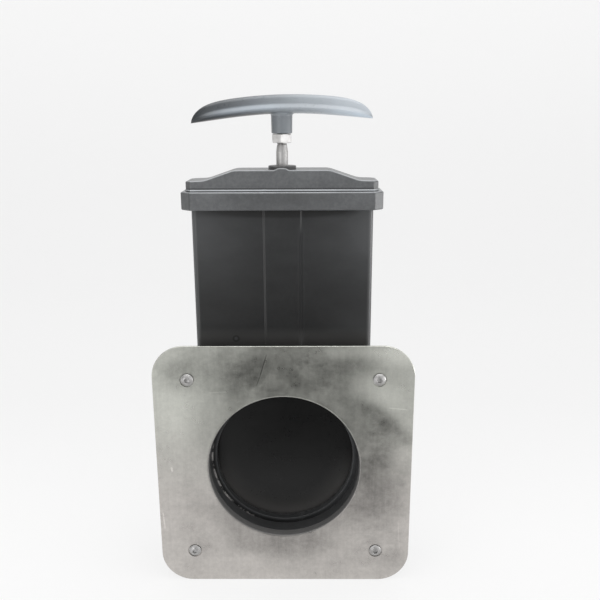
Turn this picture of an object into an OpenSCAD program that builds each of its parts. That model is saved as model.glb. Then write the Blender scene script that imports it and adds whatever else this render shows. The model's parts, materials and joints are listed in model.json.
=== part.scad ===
// Slide-gate waste drain valve for a 4-inch pipe.
// The waterway runs along Y, the gate slides up along Z, and X is across.
// Origin: centre of the opening, on the front face of the flange plate.

/* [Flange plate] */
// Width and height of the square stainless plate
plate_w = 194; // [186:1:202]
// Sheet thickness of the plate
plate_t = 2; // [1.5:0.5:3]
// Corner radius of the plate
plate_r = 24; // [10:1:30]
// Depth of the collar drawn inward round the opening
plate_collar_d = 8; // [6:1:10]

/* [Waterway] */
// Radius of the two pipe sockets
socket_r = 57.4; // [57.25:0.05:57.6]
// Radius of the waterway past the pipe stops
waterway_r = 53.5; // [52:0.5:54]
// Distance from the plate's face to the front pipe stop
front_socket_d = 20; // [18:1:24]
// Depth of the rear pipe socket
rear_socket_d = 42; // [30:1:50]

/* [Valve body] */
// Thickness of the valve body along the waterway
body_t = 26; // [26:1:32]
// Width and height of the clamped flanges
flange_w = 158; // [156:1:162]
// Width of the gate housing
housing_w = 131; // [128:1:134]
// Wall thickness of the housing
housing_wall = 3.5; // [3:0.5:4]
// Distance between bolt centres, across and up
bolt_pitch = 142; // [140:1:144]

/* [Gate] */
// Thickness of the gate
gate_t = 6; // [5:0.5:6]
// Half width of the gate and radius of its round foot
gate_r = 58.5; // [58:0.5:59]
// Travel from shut to fully open, which sets the housing's height
gate_travel = 112; // [108:1:120]

/* [Shaft and handle] */
// Diameter of the shaft
shaft_dia = 8.5; // [8:0.5:9]
// Length of bare shaft between the bushing and the jam nut
shaft_bare = 15.7; // [10:0.1:20]
// Overall width of the pull handle
handle_w = 129; // [120:1:140]
// Depth of the pull handle, front to back
handle_d = 24; // [20:1:28]
// Height of the grip's section at its middle
handle_h = 12.9; // [11:0.1:15]
// How far the grip's ends droop below its middle
handle_sag = 5; // [2:0.5:8]

/* [Hidden] */
$fn = 96;

// Stations along the waterway
body_y0 = front_socket_d;
body_y1 = body_y0 + body_t;
mid_y = body_y0 + body_t / 2;
rear_plate_t = 12;
rear_stop_y = body_y1 + 4;
rear_end_y = rear_stop_y + rear_socket_d;
flange_r = 12;
body_root_r = 7;
hub_wall = 4.6;
hub_root_r = 4;
hub_rim_r = 1.2;
lead_in = 1.5;

// Gate slot and seals
slot_clear = 2.2;
slot_t = gate_t + 2;
slot_top = 60;
seal_w = 5;
seal_t = 4;
seal_gap = 0.3;
lip_r = 1.6;
pocket_t = seal_t + seal_gap - 1;
gate_top = 66;
boss_top = 84;
boss_w = 18;
boss_t = 13;
pin_z = 77;
pin_r = 1.5;
foot_chamfer = 1.2;

// Housing and its top
housing_top = boss_top + gate_travel + 10;
housing_r = 3.8;
strip_w = 26;
strip_t = 0.8;
strip_slope = 0.8;
collar_z1 = housing_top - 0.2;
collar_z0 = collar_z1 - 12.8;
collar_over = 6.7;
collar_r = 10;
collar_edge = 1.1;

// Cap: flat crown, a ramp to each side and gently sloping ends
cap_over = 3;
cap_r = 3;
cap_z0 = collar_z1 + 0.5;
cap_edge = 1;
cap_lip_over = 3.6;
cap_lip_t = 1.1;
cap_lip_edge = 0.5;
cap_crown = cap_z0 + 14.4;
crown_half = 31;
ramp_half = 52;
bend_w = 6;
ramp_slope = 0.34;
end_slope = 0.18;
ridge_half = 5.6;
ridge_flat = 1.8;
ridge_h = 1.4;
cap_wall = 3;
plug_d = 6;
gland_r = 10;
gland_t = 2.4;
gland_edge = 0.5;
gland_body_r = 7.5;
gland_d = 5.5;
shaft_seal_t = 4;
run_gap = 0.06;

// Shaft, nut and handle
shaft_r = shaft_dia / 2;
thread_r = 3.6;
thread_len = 22;
nut_z = cap_crown + gland_t + shaft_bare;
nut_t = 6.2;
nut_af = 13;
nut_turn = 19;
neck_h = 4.8;
neck_z = nut_z - 1;
stem_z = nut_z + nut_t + 0.3;
stem_r0 = 7.4;
stem_r1 = 7.7;
stem_foot = 0.8;
grip_z = nut_z + 20.1;
groove_depth = 0.18;
groove_at = 0.62;
groove_w = 0.12;

// Nuts: width of the round face as a share of the width across flats
nut_face = 0.95;
chamfer_slope = 0.42;

// Corner bolts
bolt_r = 2.5;
bolt_hole_r = 2.8;
head_r = 4.7;
head_rise = 1.9;
head_gap = 0.6;
head_seat = 0.8;
socket_af = 3.6;
socket_d = 1.8;
washer_t = 1;
washer_r = 5.5;
bolt_tip = 0.6;
bolt_nut_t = 4.5;
bolt_nut_af = 8;
bolt_seat_y = body_y1 + rear_plate_t;
bolt_end_y = bolt_seat_y + washer_t + bolt_nut_t + 3;

// Runs its children along +Y from y0 to y1, with the profile drawn in X and Z.
module along_y(y0, y1) {
  translate([0, y1, 0]) rotate([90, 0, 0]) linear_extrude(y1 - y0) children();
}

// Turns a body of revolution drawn round Z so that its axis runs along +Y.
module facing_y() {
  rotate([-90, 0, 0]) children();
}

// A round bar along +Y.
module rod_y(r, y0, y1) {
  along_y(y0, y1) circle(r = r);
}

// A cone along +Y, of radius r0 at y0 and r1 at y1.
module cone_y(r0, r1, y0, y1) {
  translate([0, y0, 0]) facing_y() cylinder(r1 = r0, r2 = r1, h = y1 - y0);
}

// A rectangle centred on the origin with round corners.
module round_rect(w, h, r) {
  union() {
    square([w - 2 * r, h], center = true);
    square([w, h - 2 * r], center = true);
    for (sx = [-1, 1], sy = [-1, 1])
      translate([sx * (w / 2 - r), sy * (h / 2 - r)]) circle(r = r);
  }
}

// The concave corner between a wall at x = 0 and a floor at y = 0, filled to radius r.
module root_fillet(r) {
  difference() {
    translate([-0.5, -0.5]) square(r + 0.5);
    translate([r, r]) circle(r = r);
  }
}

// An upright block round the housing's axis, `over` outside the housing's faces.
module sleeve_block(over, r, z0, z1) {
  translate([0, mid_y, z0])
    linear_extrude(z1 - z0) round_rect(housing_w + 2 * over, body_t + 2 * over, r);
}

// Side view of a slab, `w` wide from its axis, with its outer edges rounded.
module slab_side(w, z0, z1, edge) {
  union() {
    translate([0, z0]) square([w - edge, z1 - z0]);
    translate([0, z0 + edge]) square([w, z1 - z0 - 2 * edge]);
    for (z = [z0 + edge, z1 - edge]) translate([w - edge, z]) circle(r = edge);
  }
}

// Both halves of that side view.
module slab_view(w, z0, z1, edge) {
  union() {
    slab_side(w, z0, z1, edge);
    mirror([1, 0]) slab_side(w, z0, z1, edge);
  }
}

// A sleeve block whose top and bottom edges are rounded too.
module soft_block(over, r, z0, z1, edge) {
  half_x = housing_w / 2 + over;
  half_y = body_t / 2 + over;
  translate([0, mid_y, 0]) union() {
    for (sx = [-1, 1], sy = [-1, 1])
      translate([sx * (half_x - r), sy * (half_y - r), 0])
        rotate_extrude() slab_side(r, z0, z1, edge);
    rotate([90, 0, 90])
      linear_extrude(2 * (half_x - r), center = true) slab_view(half_y, z0, z1, edge);
    rotate([90, 0, 0])
      linear_extrude(2 * (half_y - r), center = true) slab_view(half_x, z0, z1, edge);
  }
}

// Puts a copy of its children on corner bolt n, counted 1 to 4.
module at_bolt(n) {
  sx = (n % 2 == 1) ? -1 : 1;
  sz = (n <= 2) ? 1 : -1;
  translate([sx * bolt_pitch / 2, 0, sz * bolt_pitch / 2]) children();
}

// The four bolt holes through a part.
module bolt_holes(y0, y1) {
  for (n = [1:4]) at_bolt(n) rod_y(bolt_hole_r, y0, y1);
}

// A hexagon prism of the given width across flats, standing on the XY plane.
module hex_prism(af, h) {
  cylinder(r = af / 2 / cos(30), h = h, $fn = 6);
}

// A hexagon nut with its corners chamfered down to a round face at both ends.
module hex_nut(af, h, bore_r) {
  face_r = nut_face * af / 2;
  turned_r = af / 2 / cos(30) + 1;
  chamfer = chamfer_slope * (turned_r - face_r);
  difference() {
    intersection() {
      hex_prism(af, h);
      union() {
        cylinder(r1 = face_r, r2 = turned_r, h = chamfer);
        translate([0, 0, chamfer]) cylinder(r = turned_r, h = h - 2 * chamfer);
        translate([0, 0, h - chamfer]) cylinder(r1 = turned_r, r2 = face_r, h = chamfer);
      }
    }
    translate([0, 0, -1]) cylinder(r = bore_r, h = h + 2);
  }
}

// Stainless sheet with a countersunk hole at each corner and a drawn collar.
module flange_plate() {
  color([0.68, 0.68, 0.66])
  difference() {
    union() {
      along_y(0, plate_t) round_rect(plate_w, plate_w, plate_r);
      rod_y(socket_r + plate_t, 0, plate_collar_d);
    }
    rod_y(socket_r, -1, plate_collar_d + 1);
    for (n = [1:4]) at_bolt(n) {
      rod_y(bolt_hole_r, -1, plate_t + 1);
      cone_y(head_r, bolt_r, 0, plate_t);
      rod_y(head_r + head_gap, -1, head_seat);
    }
  }
}

// Moulded flange between the plate and the body, with the front pipe socket.
module front_flange() {
  color([0.13, 0.13, 0.14])
  difference() {
    along_y(plate_t, body_y0) round_rect(flange_w, flange_w, flange_r);
    rod_y(socket_r + plate_t, plate_t - 1, plate_collar_d);
    rod_y(socket_r, plate_t - 1, body_y0 + 1);
    bolt_holes(plate_t - 1, body_y0 + 1);
  }
}

// Outline of the gate, grown by `grow`, up to the height `top`.
module gate_outline(grow, top) {
  r = gate_r + grow;
  union() {
    circle(r = r);
    translate([-r, 0]) square([2 * r, top]);
  }
}

// Raised strip with sloping sides down the middle of the housing's front and back.
module housing_strip() {
  z0 = flange_w / 2 + 1;
  face = body_t / 2;
  half = strip_w / 2;
  translate([0, mid_y, z0]) linear_extrude(collar_z0 - z0) polygon([
    [-half - strip_slope, -face], [-half, -face - strip_t],
    [half, -face - strip_t], [half + strip_slope, -face],
    [half + strip_slope, face], [half, face + strip_t],
    [-half, face + strip_t], [-half - strip_slope, face]
  ]);
}

// Moulded body: clamped lower block and the gate housing above it.
module valve_body() {
  block_w = flange_w - 2;
  color([0.17, 0.17, 0.18])
  difference() {
    union() {
      along_y(body_y0, body_y1) round_rect(block_w, block_w, flange_r);
      sleeve_block(0, housing_r, 0, housing_top);
      for (side = [0, 1]) mirror([side, 0, 0])
        along_y(body_y0 + housing_r, body_y1 - housing_r)
          translate([housing_w / 2, block_w / 2]) root_fillet(body_root_r);
      housing_strip();
    }
    rod_y(waterway_r, body_y0 - 1, body_y1 + 1);
    along_y(mid_y - slot_t / 2, mid_y + slot_t / 2) gate_outline(slot_clear, slot_top + 2);
    for (side = [-1, 1])
      rod_y(waterway_r + seal_w, mid_y + side * (slot_t / 2 + pocket_t / 2) - pocket_t / 2,
            mid_y + side * (slot_t / 2 + pocket_t / 2) + pocket_t / 2);
    sleeve_block(-housing_wall, 2, slot_top, housing_top + 1);
    bolt_holes(body_y0 - 1, body_y1 + 1);
  }
}

// Half section of the rear pipe socket, radius across and depth up.
module hub_profile() {
  hub_r = socket_r + hub_wall;
  union() {
    translate([0, body_y1]) square([hub_r, rear_end_y - hub_rim_r - body_y1]);
    translate([0, body_y1]) square([hub_r - hub_rim_r, rear_end_y - body_y1]);
    translate([hub_r - hub_rim_r, rear_end_y - hub_rim_r]) circle(r = hub_rim_r);
    translate([hub_r, bolt_seat_y]) root_fillet(hub_root_r);
  }
}

// Moulded rear flange with the long pipe socket.
module rear_flange() {
  color([0.13, 0.13, 0.14])
  difference() {
    union() {
      along_y(body_y1, bolt_seat_y) round_rect(flange_w, flange_w, flange_r);
      facing_y() rotate_extrude() hub_profile();
    }
    rod_y(waterway_r, body_y1 - 1, rear_end_y + 1);
    rod_y(socket_r, rear_stop_y, rear_end_y + 1);
    cone_y(socket_r, socket_r + lead_in + 1, rear_end_y - lead_in, rear_end_y + 1);
    bolt_holes(body_y1 - 1, bolt_seat_y + 1);
  }
}

// Half section of a ring seal: a flat base with a round lip that faces the gate.
module seal_profile() {
  union() {
    translate([waterway_r, 0]) square([seal_w, seal_t - lip_r]);
    translate([waterway_r + seal_w / 2, seal_t - lip_r]) circle(r = lip_r);
  }
}

// Ring seal pressed against one side of the gate; side is -1 in front, 1 behind.
module ring_seal(side) {
  color([0.05, 0.05, 0.05])
  translate([0, mid_y, 0]) rotate([0, 0, side > 0 ? 180 : 0])
    translate([0, -gate_t / 2 - seal_gap - seal_t, 0])
      facing_y() rotate_extrude() seal_profile();
}
module front_seal() { ring_seal(-1); }
module rear_seal() { ring_seal(1); }

// Thick collar with rounded edges round the open top of the housing.
module top_collar() {
  color([0.38, 0.38, 0.39])
  difference() {
    soft_block(collar_over, collar_r, collar_z0, collar_z1, collar_edge);
    sleeve_block(0, housing_r, collar_z0 - 1, collar_z1 + 1);
  }
}

// Distance run at full slope by x, when the slope grows steadily from a to a + bend_w.
function eased(x, a) =
  x <= a ? 0 : x >= a + bend_w ? x - a - bend_w / 2 : pow(x - a, 2) / (2 * bend_w);

// Height of the small ridge across the middle of the crown.
function ridge(x) =
  let (u = (ridge_half - x) / (ridge_half - ridge_flat))
  u <= 0 ? 0 : u >= 1 ? ridge_h : ridge_h * (1 - cos(180 * u)) / 2;

// Height of the cap's arched top at distance x from the middle.
function arch_z(x) =
  cap_crown - ramp_slope * eased(abs(x), crown_half)
  + (ramp_slope - end_slope) * eased(abs(x), ramp_half) + ridge(abs(x));

// Stations across the arch from the middle outward: over the ridge and the two bends.
function arch_stations(corner_x) = concat(
  [for (i = [0:6]) ridge_half * i / 6],
  [for (start = [crown_half, ramp_half], i = [0:4]) start + bend_w * i / 4],
  [corner_x]
);

// Front half of a round-cornered plan, left to right, drawn in by `inset`.
function plan_front(half_x, half_y, r, inset) =
  let (cx = half_x - r, cy = half_y - r, xs = arch_stations(cx), n = len(xs), turn = 6)
  concat(
    [for (i = [0:turn]) let (a = 180 + 90 * i / turn)
      [-cx + (r - inset) * cos(a), -cy + (r - inset) * sin(a)]],
    [for (i = [n - 2:-1:0]) [-xs[i], -half_y + inset]],
    [for (i = [1:n - 2]) [xs[i], -half_y + inset]],
    [for (i = [0:turn]) let (a = 270 + 90 * i / turn)
      [cx + (r - inset) * cos(a), -cy + (r - inset) * sin(a)]]
  );

// Faces between ring k and the next, each ring of `count` points.
function band_faces(k, count) =
  [for (i = [0:count - 1]) let (a = k * count + i, b = k * count + (i + 1) % count)
    [a, a + count, b + count, b]];

// Solid block under the cap's arch: `over` outside the housing, from z0 up to `drop`
// below the arch, with its top edge rounded all round.
module arched_block(over, r, z0, drop, edge) {
  half_x = housing_w / 2 + over;
  half_y = body_t / 2 + over;
  steps = 4;
  insets = concat([0], [for (i = [0:steps]) edge * (1 - cos(90 * i / steps))]);
  depths = concat([0], [for (i = [0:steps]) drop + edge * (1 - sin(90 * i / steps))]);
  front = [for (e = insets) plan_front(half_x, half_y, r, e)];
  side = len(front[0]);
  count = 2 * side;
  rings = [for (f = front)
    concat(f, [for (i = [side - 1:-1:0]) [f[i][0], -f[i][1]]])];
  last = (len(rings) - 1) * count;
  translate([0, mid_y, 0]) polyhedron(
    points = [for (k = [0:len(rings) - 1], p = rings[k])
      [p[0], p[1], k == 0 ? z0 : arch_z(p[0]) - depths[k]]],
    faces = concat(
      [[for (i = [0:count - 1]) i]],
      [for (k = [0:len(rings) - 2], f = band_faces(k, count)) f],
      [for (i = [0:side - 2])
        [last + i, last + count - 1 - i, last + count - 2 - i, last + i + 1]]
    ),
    convexity = 4
  );
}

// Arched cap that plugs the housing and carries the shaft's gland.
module end_cap() {
  color([0.40, 0.40, 0.41])
  difference() {
    union() {
      arched_block(cap_over, cap_r, cap_z0 + cap_lip_t / 2, 0, cap_edge);
      soft_block(cap_lip_over, cap_r + cap_lip_over - cap_over, cap_z0, cap_z0 + cap_lip_t,
                 cap_lip_edge);
      sleeve_block(-housing_wall - 0.2, 2, cap_z0 - plug_d, cap_z0 + 1);
    }
    difference() {
      union() {
        sleeve_block(-housing_wall - cap_wall, 1, cap_z0 - plug_d - 1, cap_z0 + 3);
        arched_block(cap_over - cap_wall - 3.4, 2, cap_z0 + 2, cap_wall, 1);
      }
      translate([0, mid_y, cap_z0 - plug_d - 2]) cylinder(r = gland_body_r + 3, h = 40);
    }
    translate([0, mid_y, 0]) {
      translate([0, 0, cap_z0 - plug_d - 2]) cylinder(r = shaft_r + 0.4, h = 40);
      translate([0, 0, cap_crown - gland_d - shaft_seal_t]) cylinder(r = gland_body_r, h = 40);
      translate([0, 0, cap_crown]) cylinder(r = gland_r, h = ridge_h + 1);
    }
  }
}

// Flanged bushing in the top of the cap that guides the shaft.
module gland_bushing() {
  color([0.10, 0.10, 0.10])
  translate([0, mid_y, cap_crown]) difference() {
    union() {
      cylinder(r = gland_r, h = gland_t - gland_edge);
      translate([0, 0, gland_t - gland_edge])
        cylinder(r1 = gland_r, r2 = gland_r - gland_edge, h = gland_edge);
      translate([0, 0, -gland_d]) cylinder(r = gland_body_r, h = gland_d);
    }
    translate([0, 0, -gland_d - 1]) cylinder(r = shaft_r + run_gap, h = gland_d + gland_t + 2);
  }
}

// Seal ring under the bushing.
module shaft_seal() {
  color([0.04, 0.04, 0.04])
  translate([0, mid_y, cap_crown - gland_d - shaft_seal_t]) difference() {
    cylinder(r = gland_body_r, h = shaft_seal_t);
    translate([0, 0, -1]) cylinder(r = shaft_r + run_gap, h = shaft_seal_t + 2);
  }
}

// One corner bolt with a raised countersunk head and a hexagon socket.
module flange_bolt(n) {
  dome_r = (head_r * head_r + head_rise * head_rise) / (2 * head_rise);
  color([0.72, 0.72, 0.70])
  at_bolt(n) difference() {
    union() {
      cone_y(head_r, bolt_r, 0, plate_t);
      rod_y(bolt_r, 0, bolt_end_y - bolt_tip);
      cone_y(bolt_r, bolt_r - bolt_tip, bolt_end_y - bolt_tip, bolt_end_y);
      intersection() {
        translate([0, dome_r - head_rise, 0]) sphere(r = dome_r);
        rod_y(head_r, -head_rise - 1, 0);
      }
    }
    translate([0, -head_rise - 1, 0]) facing_y() hex_prism(socket_af, socket_d + 1);
  }
}
module flange_bolt_1() { flange_bolt(1); }
module flange_bolt_2() { flange_bolt(2); }
module flange_bolt_3() { flange_bolt(3); }
module flange_bolt_4() { flange_bolt(4); }

// One plain washer behind the rear flange.
module flange_washer(n) {
  color([0.72, 0.72, 0.70])
  at_bolt(n) difference() {
    rod_y(washer_r, bolt_seat_y, bolt_seat_y + washer_t);
    rod_y(bolt_r, bolt_seat_y - 1, bolt_seat_y + washer_t + 1);
  }
}
module flange_washer_1() { flange_washer(1); }
module flange_washer_2() { flange_washer(2); }
module flange_washer_3() { flange_washer(3); }
module flange_washer_4() { flange_washer(4); }

// One hexagon nut behind its washer.
module flange_nut(n) {
  color([0.72, 0.72, 0.70])
  at_bolt(n) translate([0, bolt_seat_y + washer_t, 0])
    facing_y() hex_nut(bolt_nut_af, bolt_nut_t, bolt_r);
}
module flange_nut_1() { flange_nut(1); }
module flange_nut_2() { flange_nut(2); }
module flange_nut_3() { flange_nut(3); }
module flange_nut_4() { flange_nut(4); }

// Flat gate with a round, chamfered foot and a boss that takes the shaft.
module gate_paddle() {
  y0 = mid_y - gate_t / 2;
  y1 = mid_y + gate_t / 2;
  color([0.11, 0.11, 0.12])
  difference() {
    union() {
      cone_y(gate_r - foot_chamfer, gate_r, y0, y0 + foot_chamfer);
      rod_y(gate_r, y0 + foot_chamfer, y1 - foot_chamfer);
      cone_y(gate_r, gate_r - foot_chamfer, y1 - foot_chamfer, y1);
      translate([-gate_r, y0, 0]) cube([2 * gate_r, gate_t, gate_top]);
      translate([-boss_w / 2, mid_y - boss_t / 2, gate_top])
        cube([boss_w, boss_t, boss_top - gate_top]);
    }
    translate([0, mid_y, gate_top + 2]) cylinder(r = shaft_r, h = boss_top);
    translate([0, 0, pin_z]) rod_y(pin_r, mid_y - boss_t, mid_y + boss_t);
  }
}

// Stainless shaft that tapers to a threaded neck at the top.
module gate_shaft() {
  foot_z = gate_top + 2;
  color([0.78, 0.78, 0.77])
  translate([0, mid_y, 0]) difference() {
    union() {
      translate([0, 0, foot_z]) cylinder(r = shaft_r, h = neck_z - neck_h - foot_z);
      translate([0, 0, neck_z - neck_h]) cylinder(r1 = shaft_r, r2 = thread_r, h = neck_h);
      translate([0, 0, neck_z]) cylinder(r = thread_r, h = thread_len);
    }
    translate([0, -mid_y, pin_z]) rod_y(pin_r, 0, 2 * mid_y);
  }
}

// Cross pin that holds the shaft in the gate's boss.
module shaft_pin() {
  color([0.70, 0.70, 0.70])
  translate([0, 0, pin_z]) rod_y(pin_r, mid_y - boss_t / 2, mid_y + boss_t / 2);
}

// Hexagon jam nut under the handle, turned a little off square.
module jam_nut() {
  color([0.80, 0.79, 0.77])
  translate([0, mid_y, nut_z]) rotate([0, 0, nut_turn]) hex_nut(nut_af, nut_t, thread_r);
}

// The grip at t, which runs from 0 in its middle to 1 at its tips: the height of its
// underside, the height of its section and half its depth.
function grip_low(t) = grip_z - handle_sag * (1.35 * t * t - 0.35 * pow(t, 4));
function grip_height(t) = handle_h * pow(1 - pow(t, 7), 0.6);
function grip_depth(t) = handle_d / 2 * pow(1 - pow(t, 3.5), 0.55);

// Share of the half depth at angle a round the section: full below, drawn in by the
// finger groove and narrower towards the top.
function grip_share(a) =
  let (v = (1 + sin(a)) / 2, c = abs(cos(a)))
  sign(cos(a)) * (pow(c, 0.7) * (1.15 - 0.3 * v)
    - c * groove_depth * exp(-pow((v - groove_at) / groove_w, 2)));

// Grip lofted from tip to tip through sections that are each a closed, grooved oval.
module grip() {
  stations = 18;
  around = 40;
  rings = [for (i = [1 - stations:stations - 1]) sin(90 * i / stations)];
  tips = len(rings) * around;
  half = handle_w / 2;
  polyhedron(
    points = concat(
      [for (s = rings, j = [0:around - 1])
        let (a = 360 * j / around, t = abs(s))
        [half * s, mid_y + grip_depth(t) * grip_share(a),
         grip_low(t) + grip_height(t) * (1 + sin(a)) / 2]],
      [for (s = [-1, 1]) [half * s, mid_y, grip_low(1)]]
    ),
    faces = concat(
      [for (k = [0:len(rings) - 2], f = band_faces(k, around)) f],
      [for (j = [0:around - 1]) [tips, j, (j + 1) % around]],
      [for (j = [0:around - 1])
        [tips + 1, tips - around + (j + 1) % around, tips - around + j]]
    ),
    convexity = 6
  );
}

// Pull handle: the lofted grip on its round, tapered stem.
module pull_handle() {
  shank_z = stem_z + stem_foot;
  color([0.42, 0.47, 0.54])
  difference() {
    union() {
      grip();
      translate([0, mid_y, stem_z])
        cylinder(r1 = stem_r0 - stem_foot, r2 = stem_r0, h = stem_foot);
      translate([0, mid_y, shank_z])
        cylinder(r1 = stem_r0, r2 = stem_r1, h = grip_z + 3 - shank_z);
    }
    translate([0, mid_y, stem_z - 1]) cylinder(r = thread_r, h = neck_z + thread_len + 1 - stem_z);
  }
}

flange_plate();
front_flange();
valve_body();
rear_flange();
front_seal();
rear_seal();
top_collar();
end_cap();
gland_bushing();
shaft_seal();
flange_bolt_1();
flange_bolt_2();
flange_bolt_3();
flange_bolt_4();
flange_washer_1();
flange_washer_2();
flange_washer_3();
flange_washer_4();
flange_nut_1();
flange_nut_2();
flange_nut_3();
flange_nut_4();
gate_paddle();
gate_shaft();
shaft_pin();
jam_nut();
pull_handle();
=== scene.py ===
"""Looks of a slide-gate waste drain valve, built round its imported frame.

The waterway runs along Y, the gate slides along Z and X is across. Sizes and the
places of marks are millimetres; the studio and the frame itself are in metres.
"""

from __future__ import annotations

import json
import logging
import math
from dataclasses import dataclass, field
from enum import Enum
from typing import Callable, Sequence, TypeAlias

import bmesh
import bpy
from mathutils import Matrix, Vector
from mathutils.geometry import tessellate_polygon

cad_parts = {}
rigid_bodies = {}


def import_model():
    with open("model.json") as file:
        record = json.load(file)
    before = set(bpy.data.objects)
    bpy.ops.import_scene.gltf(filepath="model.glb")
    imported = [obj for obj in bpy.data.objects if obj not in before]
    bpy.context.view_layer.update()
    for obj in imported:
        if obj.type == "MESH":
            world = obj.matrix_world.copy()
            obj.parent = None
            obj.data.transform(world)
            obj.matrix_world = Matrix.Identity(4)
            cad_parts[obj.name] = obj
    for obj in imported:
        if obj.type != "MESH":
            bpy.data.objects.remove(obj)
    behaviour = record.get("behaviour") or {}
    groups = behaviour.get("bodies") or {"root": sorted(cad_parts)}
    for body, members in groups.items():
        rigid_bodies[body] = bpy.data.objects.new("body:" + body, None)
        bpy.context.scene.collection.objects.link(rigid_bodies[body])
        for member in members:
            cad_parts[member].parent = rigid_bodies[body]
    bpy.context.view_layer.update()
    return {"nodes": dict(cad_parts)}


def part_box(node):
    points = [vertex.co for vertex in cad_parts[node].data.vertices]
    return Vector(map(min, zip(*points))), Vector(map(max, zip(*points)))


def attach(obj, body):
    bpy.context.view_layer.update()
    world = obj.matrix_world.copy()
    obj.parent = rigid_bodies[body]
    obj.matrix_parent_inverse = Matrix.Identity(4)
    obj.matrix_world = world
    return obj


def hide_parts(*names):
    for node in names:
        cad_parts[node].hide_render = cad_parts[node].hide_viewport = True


LOG = logging.getLogger("drain_valve")
MM = 0.001
VALVE = "valve"
GATE = "gate"
PAINTED_LIGHT_ATTRIBUTE = "wear"
BOLT_PITCH = 142.0
BOLT_HOLE_R = 2.8
FRONT_BAND = 0.6
BACK_PAINTED_SHARE = 0.3
CHAMFER_DRAWN_IN = 0.586
CHAMFER_ROUNDED = 0.414
AXIS_Y = Matrix.Rotation(math.radians(-90.0), 4, "X")

Number: TypeAlias = "float | Wire"
Point: TypeAlias = tuple[float, float]
Place: TypeAlias = tuple[float, float, float]
Colour: TypeAlias = tuple[float, float, float, float]
Rim: TypeAlias = list[Point]


# ---------------------------------------------------------------- node trees


def operator(operation: str, swapped: bool = False) -> Callable[[Wire, Number], Wire]:
    """A Wire's method for arithmetic with a wire or a number.

    Args:
        operation: The Math node's operation.
        swapped: Whether the other operand comes first.

    Returns:
        The method.
    """
    def method(wire: Wire, other: Number) -> Wire:
        """Adds the Math node."""
        return wire.math(operation, *((other, wire) if swapped else (wire, other)))

    return method


class Wire:
    """An output socket that adds Math nodes when it is used in arithmetic."""

    __add__ = operator("ADD")
    __radd__ = operator("ADD", swapped=True)
    __sub__ = operator("SUBTRACT")
    __rsub__ = operator("SUBTRACT", swapped=True)
    __mul__ = operator("MULTIPLY")
    __rmul__ = operator("MULTIPLY", swapped=True)
    __truediv__ = operator("DIVIDE")
    __pow__ = operator("POWER")
    at_least = operator("MAXIMUM")
    at_most = operator("MINIMUM")

    def __init__(self, graph: Graph, socket: bpy.types.NodeSocket) -> None:
        """Wraps an output socket of the graph."""
        self.graph = graph
        self.socket = socket

    def math(self, operation: str, *operands: Number) -> Wire:
        """Adds one Math node with those operands and returns its result."""
        return self.graph.add("ShaderNodeMath", {"operation": operation},
                              dict(enumerate(operands)))

    def __neg__(self) -> Wire:
        """Negative."""
        return self * -1.0

    def __abs__(self) -> Wire:
        """Absolute value."""
        return self.math("ABSOLUTE", self)

    def step_up(self, start: float, end: float) -> Wire:
        """Rises smoothly from 0 at `start` to 1 at `end`; falls if `end` is lower.

        Args:
            start: Value where the result is 0.
            end: Value where the result is 1.

        Returns:
            The eased share, between 0 and 1.
        """
        share = ((self - start) / (end - start)).at_least(0.0).at_most(1.0)
        return share * share * (3.0 - 2.0 * share)


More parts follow.
